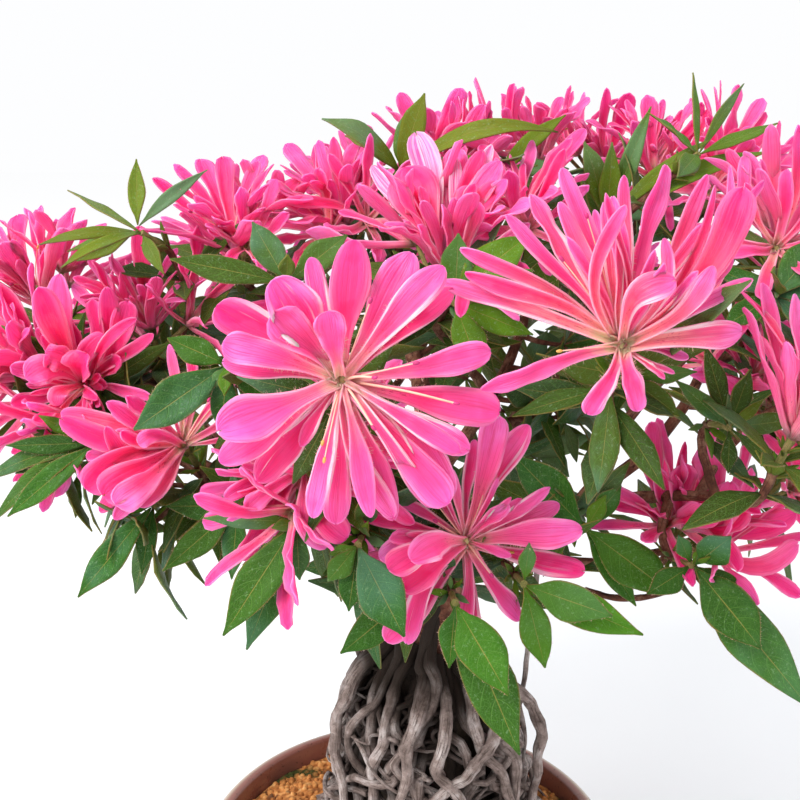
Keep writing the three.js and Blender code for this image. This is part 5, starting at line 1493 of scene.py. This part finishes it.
# Thin ones that cross them, and finer ones that run out over the soil.
for index in range(110):
    turn, top = 360 * draw(), 50 + 54 * draw()
    end = (turn + 160 * (draw() - 0.5), top - 6 - 26 * draw())
    path = root_path(draw, (turn, top), end, 1 - 4 * draw(), 1.0 + 1.8 * draw(), 2.9, 24)
    thick = 0.45 + 0.75 * draw() ** 2
    root(draw, path, thick, 0.7 * thick)
for index in range(70):
    turn, top = 360 * draw(), 49 + 14 * draw()
    end = (turn + 60 * (draw() - 0.5), 44)
    path = root_path(draw, (turn, top), end, 0.5, 1 + 1.4 * draw(), 1.3, FINE_POINTS)
    outwards = around_trunk([(turn, 1.0, 0)]) - (*ROOT_CENTRE, 0)
    outwards = outwards * (9 * draw() * np.linspace(0, 1, FINE_POINTS)[:, None] ** 1.5)
    thick = 0.35 + 0.5 * draw() ** 2
    root(draw, path + outwards, thick, 0.6 * thick)

# The collar, where the trunk's foot splits into roots, and one root that hangs in the air.
for index in range(13):
    turn, lean = 28 * (index + 0.7 * draw()), 44 * (draw() - 0.5)
    steps = around_trunk([
        (turn, 5.5, 124 + 10 * draw()), (turn + lean, 8.5, 116), (turn + lean, 20, 98),
        (turn + 2 * lean, 25, 82), (turn - lean, 26, 66), (turn, 29, 50)])
    steps[:2] += ((3, -3, 0), (1.5, -1.5, 0))
    path = curve_through(steps, COLLAR_POINTS) + swing_aside(draw, COLLAR_POINTS, 3.4, 0.9)
    root(draw, path, 1 + 0.9 * draw(), 0.7 + 0.4 * draw())
aerial = curve_through([(32, -6, 141), (31.5, -3, 118), (30.5, -1, 104), (30, 0, 95), (26, 0, 82)], 24)
add_strand("roots", aerial, np.linspace(0.8, 0.65, 24))
print(len(strands["roots"]), "roots")

# %% [markdown]
# A curve's own radius gives each strand its taper. The sweep also keeps how far along the strand a
# point lies, so that the grain of the bark can run lengthwise.

# %% Sweep the strands
bark = Recipe("bark_on_paths", Sides=10, Relief=0.3, Grain=300.0, Material=None)
path_data = bark.node("GeometryNodeCaptureAttribute", domain="POINT")
path_data.capture_items.new("FLOAT", "girth")
path_data.capture_items.new("FLOAT", "length")
bark.give(path_data.inputs["Geometry"], bark.value("Geometry"))
bark.give(path_data.inputs["girth"], bark.add("GeometryNodeInputRadius"))
bark.give(path_data.inputs["length"], bark.add("GeometryNodeSplineParameter", output="Length"))
paths, girth, length = (Signal(bark, path_data.outputs[key]) for key in ("Geometry", "girth", "length"))
section_data = bark.node("GeometryNodeCaptureAttribute")
section_data.capture_items.new("VECTOR", "round")
circle = {"Resolution": bark.value("Sides"), "Radius": 1.0}
circle = bark.add("GeometryNodeCurvePrimitiveCircle", circle)
bark.give(section_data.inputs["Geometry"], circle)
bark.give(section_data.inputs["round"], bark.add("GeometryNodeInputPosition"))
section, around = (Signal(bark, section_data.outputs[key]) for key in ("Geometry", "round"))
tube = {"Curve": paths, "Profile Curve": section, "Fill Caps": True}
tube = bark.node("GeometryNodeCurveToMesh", tube)
if "Scale" in tube.inputs:
    bark.give(tube.inputs["Scale"], girth)
rough = bark.add("ShaderNodeTexNoise", {"Scale": bark.value("Grain"), "Detail": 2.0})
rough = (rough - 0.5) * bark.value("Relief") * girth
push = bark.vector("SCALE", bark.add("GeometryNodeInputNormal"), Scale=rough)
skin = bark.add("GeometryNodeSetPosition", {"Geometry": Signal(bark, tube.outputs[0]), "Offset": push})
fibre = bark.vector("ADD", around, bark.join(z=length * (1 / (9 * MM))))
bark.close(bark.add("GeometryNodeStoreNamedAttribute", {
    "Geometry": skin, "Name": "fibre", "Value": fibre}, data_type="FLOAT_VECTOR", domain="POINT"))


def swept(name, kind, material, slot, *nodes, **given):
    """A piece whose round section is swept along every strand of one kind."""
    curve = bpy.data.curves.new(name, "CURVE")
    curve.dimensions = "3D"
    for path, radii in strands[kind]:
        spline = curve.splines.new("POLY")
        spline.points.add(len(path) - 1)
        spline.points.foreach_set("co", np.column_stack([in_frame(path), np.ones(len(path))]).ravel())
        spline.points.foreach_set("radius", (radii * MM).astype(float))
    return finished(name, bark.cook(name, curve, Material=material, **given), None, slot, *nodes)


# %% [markdown]
# The bark of the branches is reddish brown with grey flakes. The roots have weathered to a grey taupe,
# with pale scars where they rub. Deep between them, near the trunk's axis, they are painted darker as
# painted shade. The grain runs along each strand, fine and patchy, as on old roots, and not like the
# veins of a stone.

# %% The finishes of bark, roots and stalks
def bark_finish(name, dark, plain, pale, scale, shade_hollows=False):
    finish = Finish(name)
    cloud = finish.noise(finish.place, scale, 5, 0.65)
    along = finish.add("ShaderNodeAttribute", output="Vector", attribute_name="fibre")
    grain = finish.vector("ADD", along, finish.vector("SCALE", finish.place, Scale=60.0))
    fibres = finish.noise(grain, 2.6, 4, 0.7)
    flakes = finish.noise(finish.place, scale * 4.5, 3, 0.7, 0.6)
    colour = finish.ramp(cloud, (0.28, dark), (0.48, plain), (0.72, pale))
    colour = finish.mix(fibres.rise(0.48, 0.7), colour, dark)
    colour = finish.mix(flakes.rise(0.55, 0.72) * 0.6, colour, dark)
    if shade_hollows:
        # Painted shade: the roots turn near black the nearer they lie to the trunk's axis, and more so
        # lower down, where the gaps between them lie in shade.
        _, _, height = finish.parts(finish.place)
        level = height * 0.14 + finish.away_from(in_frame((*ROOT_CENTRE, 0)))
        colour = finish.mix(1 - level.rise(0.0315, 0.0372), colour, (0.022, 0.014, 0.010))
    finish.relief(flakes * 0.4 + fibres, 0.0007, 0.9)
    return finish.shade(Base_Color=colour, Roughness=0.88, Specular_IOR_Level=0.25)


BARK = bark_finish("branch_bark", (0.04, 0.014, 0.009), (0.15, 0.052, 0.031), (0.34, 0.19, 0.12), 260)
ROOT = bark_finish("root_bark", (0.05, 0.032, 0.025), (0.26, 0.20, 0.18), (0.60, 0.54, 0.52), 160, True)
STALK = bark_finish("green_stalk", (0.10, 0.12, 0.03), (0.26, 0.24, 0.07), (0.46, 0.30, 0.16), 300)

swept("branches", "limbs", BARK, "wood", "tree", Sides=10, Relief=0.35)
swept("exposed_roots", "roots", ROOT, "wood", "tree", Sides=8, Relief=0.5)
swept("stalks", "stalks", STALK, "leaf", Sides=7, Relief=0.15)

# %% [markdown]
# Between real roots one looks into a dark cavity full of old roots and soil. One turned shape inside
# the cone closes it, so that no light shines through the gaps, and its near-black colour is painted
# shade.

# %% The core behind the roots
core_outline = [(0.02, 42), (26, 42), (25.5, 46), (21, 60), (18.5, 86), (13, 99), (6, 112), (0.02, 114)]
core_mesh = turned_mesh("root_core_in_shade", core_outline, 40)
core_mesh.transform(Matrix.Translation((ROOT_CENTRE[0] * MM, ROOT_CENTRE[1] * MM, 0)))
# Painted shade: the core is near black, so that the gaps between the roots read as deep shadow.
CORE_SHADE = bark_finish("root_core_in_shade", (0.012, 0.008, 0.006), (0.03, 0.02, 0.014), (0.07, 0.05, 0.035), 200)
finished("root_core_in_shade", core_mesh, CORE_SHADE, "wood")
print("the core stands inside", len(strands["roots"]), "roots")

# %% [markdown]
# ## Foliage under the flowers
# An azalea carries its leaves in whorls just below each flower and at the joints of its twigs. The
# solid model has the large whorls only. These smaller ones fill the crown and hide most of the
# wood. Each leaf follows the same rule as the large leaves, and one that would leave the solid
# model's box is left out.

# %% Whorls of small leaves
def inside_box(grid):
    flat = grid.reshape(-1, 3)
    return bool((flat.min(0) > BOX_LOW).all() and (flat.max(0) < BOX_HIGH).all())


def small_whorl(blades, at, facing, count, reach, opening, draw, young, tinged, rows=8, columns=5):
    turn = 360 * draw()
    made = 0
    for index in range(count):
        length = reach * (0.65 + 0.5 * draw())
        clock = turn + 360 / count * (index + 0.5 * (draw() - 0.5))
        row = (clock, opening + 34 * (draw() - 0.5), length, length * (0.22 + 0.14 * draw()),
               6 + 30 * draw(), 30 * (draw() - 0.5))
        strap = Strap(np.asarray(at) + unit(facing) * 1.2 * (draw() - 0.5), facing, row, 0.9)
        grid = leaf_grid(strap, draw, rows, columns)
        look = leaf_look(draw, young, tinged, (0.35, 0.4), 0.4)
        if inside_box(grid):
            blades.add(grid, LEAF_THICKNESS, look)
            made += 1
    return made


AT_THE_FRONT = ("front_left", "front_right", "front_low", "left_low")
draw = dice(611)
undergrowth, made = Blades(), 0
for name, (foot, axis, hub) in feet.items():
    if not name.startswith("bloom"):
        continue
    opening, reach = (112, 17) if name[len("bloom_"):] in AT_THE_FRONT else (88, 20)
    if name[len("bloom_"):] not in AT_THE_FRONT:
        made += small_whorl(undergrowth, foot + axis * 1.5, axis, 4, 23, 74, draw, 0.3, 0.65)
    made += small_whorl(undergrowth, foot - axis * 5, axis, 4, reach, opening, draw, 0.1, 0.75)
undergrowth.piece("leaves_below_flowers", LEAF, "leaf")
print(made, "leaves just below the flowers")


def open_air(point):
    """Where the front shows bare branches, and the air before the roots."""
    bare = 42 < point[0] < 88 and point[1] < 12 and 140 < point[2] < 176
    return bare or (point[2] < 142 and point[1] < 8)


def whorls_along(blades, path, shares, opening):
    """Three leaves at each of these shares of a path, where they don't hide bare wood."""
    made = 0
    for share in shares:
        index = int(share * (len(path) - 1))
        along = unit(path[index + 1] - path[index - 1])
        if not open_air(path[index]):
            made += small_whorl(blades, path[index], along, 3, 20, opening, draw, 0.1, 0.7)
    return made


SPURS = 110
SPUR_MARGIN = 22
MIDDLE_OF_CROWN = (0, 10, 178)
inner = Blades()
made = sum(whorls_along(inner, path, (0.45, 0.75), 66) for path in twigs.values())
for path, radii in strands["limbs"][1:len(LIMBS)]:
    made += whorls_along(inner, path, (0.55, 0.72, 0.88), 70)
for index in range(SPURS):
    point, radius = forks[int(draw() * len(forks))]
    way = unit(unit(point - MIDDLE_OF_CROWN) * 0.5 + jitter(draw, 3))
    end = point + way * (12 + 14 * draw())
    clear = (end > BOX_LOW + SPUR_MARGIN).all() and (end < BOX_HIGH - SPUR_MARGIN).all()
    if clear and end[1] > -40 and not open_air(end):
        path = curve_through([point, (point + end) / 2 + 2 * jitter(draw, 3), end], 10)
        add_strand("spurs", path, np.linspace(min(radius, 0.8), 0.5, 10))
        made += small_whorl(inner, end, way, 5, 21, 62, draw, 0.03, 0.2)
swept("spurs", "spurs", BARK, "wood", Sides=7, Relief=0.3)
inner.piece("leaves_on_twigs", LEAF, "leaf")
print(made, "leaves along the twigs")

# %% [markdown]
# ## Younger flowers
# Azalea buds open in twos and threes from one whorl. Beside each flower that isn't at the front
# stands a younger one, on a thin stalk from the same foot. It is half open, with fewer and
# narrower straps. They make the crown as full as it is, and have no solid of their own.

# %% Half-open flowers beside the others
young_petals, made = Blades(), 0
for number, (name, at, facing, rows) in enumerate(HEADS):
    if name in AT_THE_FRONT:
        continue
    draw = dice(1500 + number)
    foot, axis, hub = feet["bloom_" + name]
    for beside in range(2):
        turn = TURN * draw()
        across = unit(np.cross(axis, (math.cos(turn), math.sin(turn), 0.3)))
        toward = unit(axis + across * (0.7 + 0.5 * draw()))
        centre = foot + toward * (11 + 5 * draw())
        look = (0.3 + 0.6 * draw(), 0.5 + 0.7 * draw(), 0.5)
        petals = petals_by_rule(38 + 16 * draw(), 17 + 6 * draw(), 8, int(1e6 * draw()))
        grids = [petal_grid(Strap(centre, toward, row, 1.6), draw, 10, 5, 0.6) for row in petals]
        if all(inside_box(grid) for grid in grids):
            for grid in grids:
                young_petals.add(grid, PETAL_THICKNESS, petal_look(*look, draw))
            stalk = curve_through([foot - axis, foot + toward * 4, centre], 9)
            draw()  # a flower that opens takes one draw more than one that is left out
            add_strand("young", stalk, np.full(9, 0.55))
            made += 1
young_petals.piece("petals_of_young_flowers", PETAL, "petal")
swept("young_stalks", "young", STALK, "leaf", Sides=6, Relief=0.15)
print(made, "half-open flowers")

# %% [markdown]
# ## Pistils, stamens and calyces
# From each throat lean long pale filaments. The pistils end in a dark pink knob, and the stamens
# in an orange anther. Behind each flower five hairy sepals hold the claws.

# %% Filaments
def filament(path, base, end, kind, bend=(0, 0, 0)):
    add_strand("filaments", path, np.linspace(base, end, len(path)))
    tips[kind].append((path[-1], unit(path[-1] - path[-2] + bend)))


tips = {"anther": [], "stigma": []}
for number, (name, at, facing, rows) in enumerate(HEADS):
    draw = dice(2100 + number)
    for index in range(5 if name in AT_THE_FRONT else 2):
        model = flowers[name][int(draw() * len(flowers[name]))]
        length = model.length * (0.35 + 0.4 * draw())
        row = (model.clock + 20 * (draw() - 0.5), model.open * (0.55 + 0.4 * draw()), length, 1,
               model.curl + 30 * (draw() - 0.3))
        strap = Strap(np.asarray(at) + unit(facing) * 0.6, facing, row, 0.6)
        path, side, face = strap.along(np.linspace(0, 1, 12))
        path = path + face * np.sin(np.linspace(0, math.pi, 12))[:, None] * 1.2
        filament(path, 0.16, 0.11, "stigma" if index % 4 == 0 else "anther")

# The three long pistils of the flower at the front, from its hub.
for reach in ((5.8, -8, 2.6), (5.6, -9, -5.8), (19.5, -6.5, -2.3)):
    hub = np.array(HEADS[0][1], float)
    path = curve_through([hub, hub + np.array(reach) * 0.55 + (0, -1.5, 0.8), hub + reach], 12)
    filament(path, 0.3, 0.2, "stigma", (0.2, 0, 0.2))


def plain_finish(name, first, second, scale, roughness):
    finish = Finish(name)
    colour = finish.mix(finish.noise(finish.place, scale, 3), first, second)
    return finish.shade(Base_Color=colour, Roughness=roughness, Specular_IOR_Level=0.4)


FILAMENT = plain_finish("filament", (0.78, 0.30, 0.26), (0.84, 0.55, 0.40), 500, 0.5)
swept("filaments", "filaments", FILAMENT, "petal", Sides=5, Relief=0.0)

# %% [markdown]
# The knobs at the ends are small stretched spheres, placed on the tips of the filaments and turned
# to follow them. The same recipe makes the yellow-green throats.

# %% Anthers and stigmas
knobs = Recipe("knobs_on_points", Size=0.5 * MM, Stretch=1.7, Material=None)
knob = knobs.add("GeometryNodeMeshIcoSphere", {"Radius": 1.0, "Subdivisions": 2})
shape = knobs.join(1.0, 1.0, knobs.value("Stretch"))
knob = knobs.add("GeometryNodeTransform", {"Geometry": knob, "Scale": shape})
lean = knobs.add("GeometryNodeInputNamedAttribute", {"Name": "lean"}, data_type="FLOAT_VECTOR")
lean = knobs.add("FunctionNodeAlignEulerToVector", {"Vector": lean}, axis="Z")
knobs.close(knobs.add("GeometryNodeInstanceOnPoints", {
    "Points": knobs.value("Geometry"), "Instance": knob, "Rotation": lean,
    "Scale": knobs.value("Size")}))


def knobs_at(name, spots, material, size, stretch):
    mesh = new_mesh(name, [spot for spot, _ in spots], [])
    leaning = mesh.attributes.new("lean", "FLOAT_VECTOR", "POINT")
    leaning.data.foreach_set("vector", np.array([way for _, way in spots], np.float32).ravel())
    cooked = knobs.cook(name, mesh, Material=material, Size=size * MM, Stretch=stretch)
    finished(name, cooked, None, "petal")


ANTHER = plain_finish("anther", (0.40, 0.17, 0.04), (0.72, 0.42, 0.12), 900, 0.8)
STIGMA = plain_finish("stigma", (0.30, 0.01, 0.08), (0.62, 0.03, 0.20), 900, 0.4)
THROAT = plain_finish("throat", (0.40, 0.36, 0.12), (0.66, 0.58, 0.30), 700, 0.5)
blooms = [feet["bloom_" + name] for name, *_ in HEADS]
hubs = [(hub + axis * 0.2, axis) for foot, axis, hub in blooms]
knobs_at("anthers", tips["anther"], ANTHER, 0.3, 2.0)
knobs_at("stigmas", tips["stigma"], STIGMA, 0.36, 1.8)
knobs_at("throats", hubs, THROAT, 1.0, 1.3)

# %% [markdown]
# Sepals and bud scales are leaves in small: short whorls, held close to the stalk.

# %% Calyces and bud scales
draw = dice(2600)
scales, made = Blades(), 0
for name, (foot, axis, hub) in feet.items():
    if name.startswith("bloom"):
        made += small_whorl(scales, hub - axis * 3.4, axis, 6, 4.6, 34, draw, 0.7, 0.3, 6, 3)
    made += small_whorl(scales, foot - axis * 1.0, axis, 6, 6.5, 34, draw, 1.0, 0.35, 6, 3)
scales.piece("sepals_and_scales", LEAF, "leaf")
print(made, "sepals and bud scales")

# %% [markdown]
# ## Hairs
# The claws of the petals and the edges of the leaves are fringed with fine pale hairs, which is how
# an azalea is told from a rhododendron. They are only made where they can be seen close up. Each is
# a short bent strand, swept like the branches with a three-sided section.

# %% Hairs on claws and leaf edges
HAIR_RADII = (0.032, 0.025, 0.01)
HAIR = plain_finish("pale_hair", (0.62, 0.30, 0.26), (0.78, 0.52, 0.42), 300, 0.6)


def fringe(name, grids, slot, start, end, each, length, seed):
    """So many hairs on the two edges of each blade, from a start to an end of its length."""
    draw = dice(seed)
    for grid in grids:
        rows = len(grid) - 1
        for index in range(each):
            row = min(int((start + (end - start) * draw()) * rows), rows - 1)
            column, inner = ((0, 1), (-1, -2))[draw() < 0.5]
            share = draw()
            root = grid[row, column] * (1 - share) + grid[row + 1, column] * share
            away = unit(unit(grid[row, column] - grid[row, inner]) + 0.9 * jitter(draw, 3))
            bend = 0.5 * jitter(draw, 3)
            tip = root + away * length * (0.5 + 0.8 * draw())
            middle = (root + tip) / 2 + bend * length * 0.5
            add_strand(name, [root - away * 0.1, middle, tip], HAIR_RADII)
    swept(name, name, HAIR, slot, Sides=3, Relief=0.0)


fringe("claw_hairs", claws, "petal", 0.1, 0.45, 30, 0.7, 3100)
fringe("edge_hairs", edges[:60], "leaf", 0.1, 0.97, 44, 0.28, 3200)

# %% Finish
dressed_low, dressed_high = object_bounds()
for axis, (a, b, c, d) in zip("XYZ", zip(cad_low, dressed_low, dressed_high, cad_high)):
    print(f"{axis}: {a * 1000:.1f} | {b * 1000:.1f} to {c * 1000:.1f} | {d * 1000:.1f} mm")
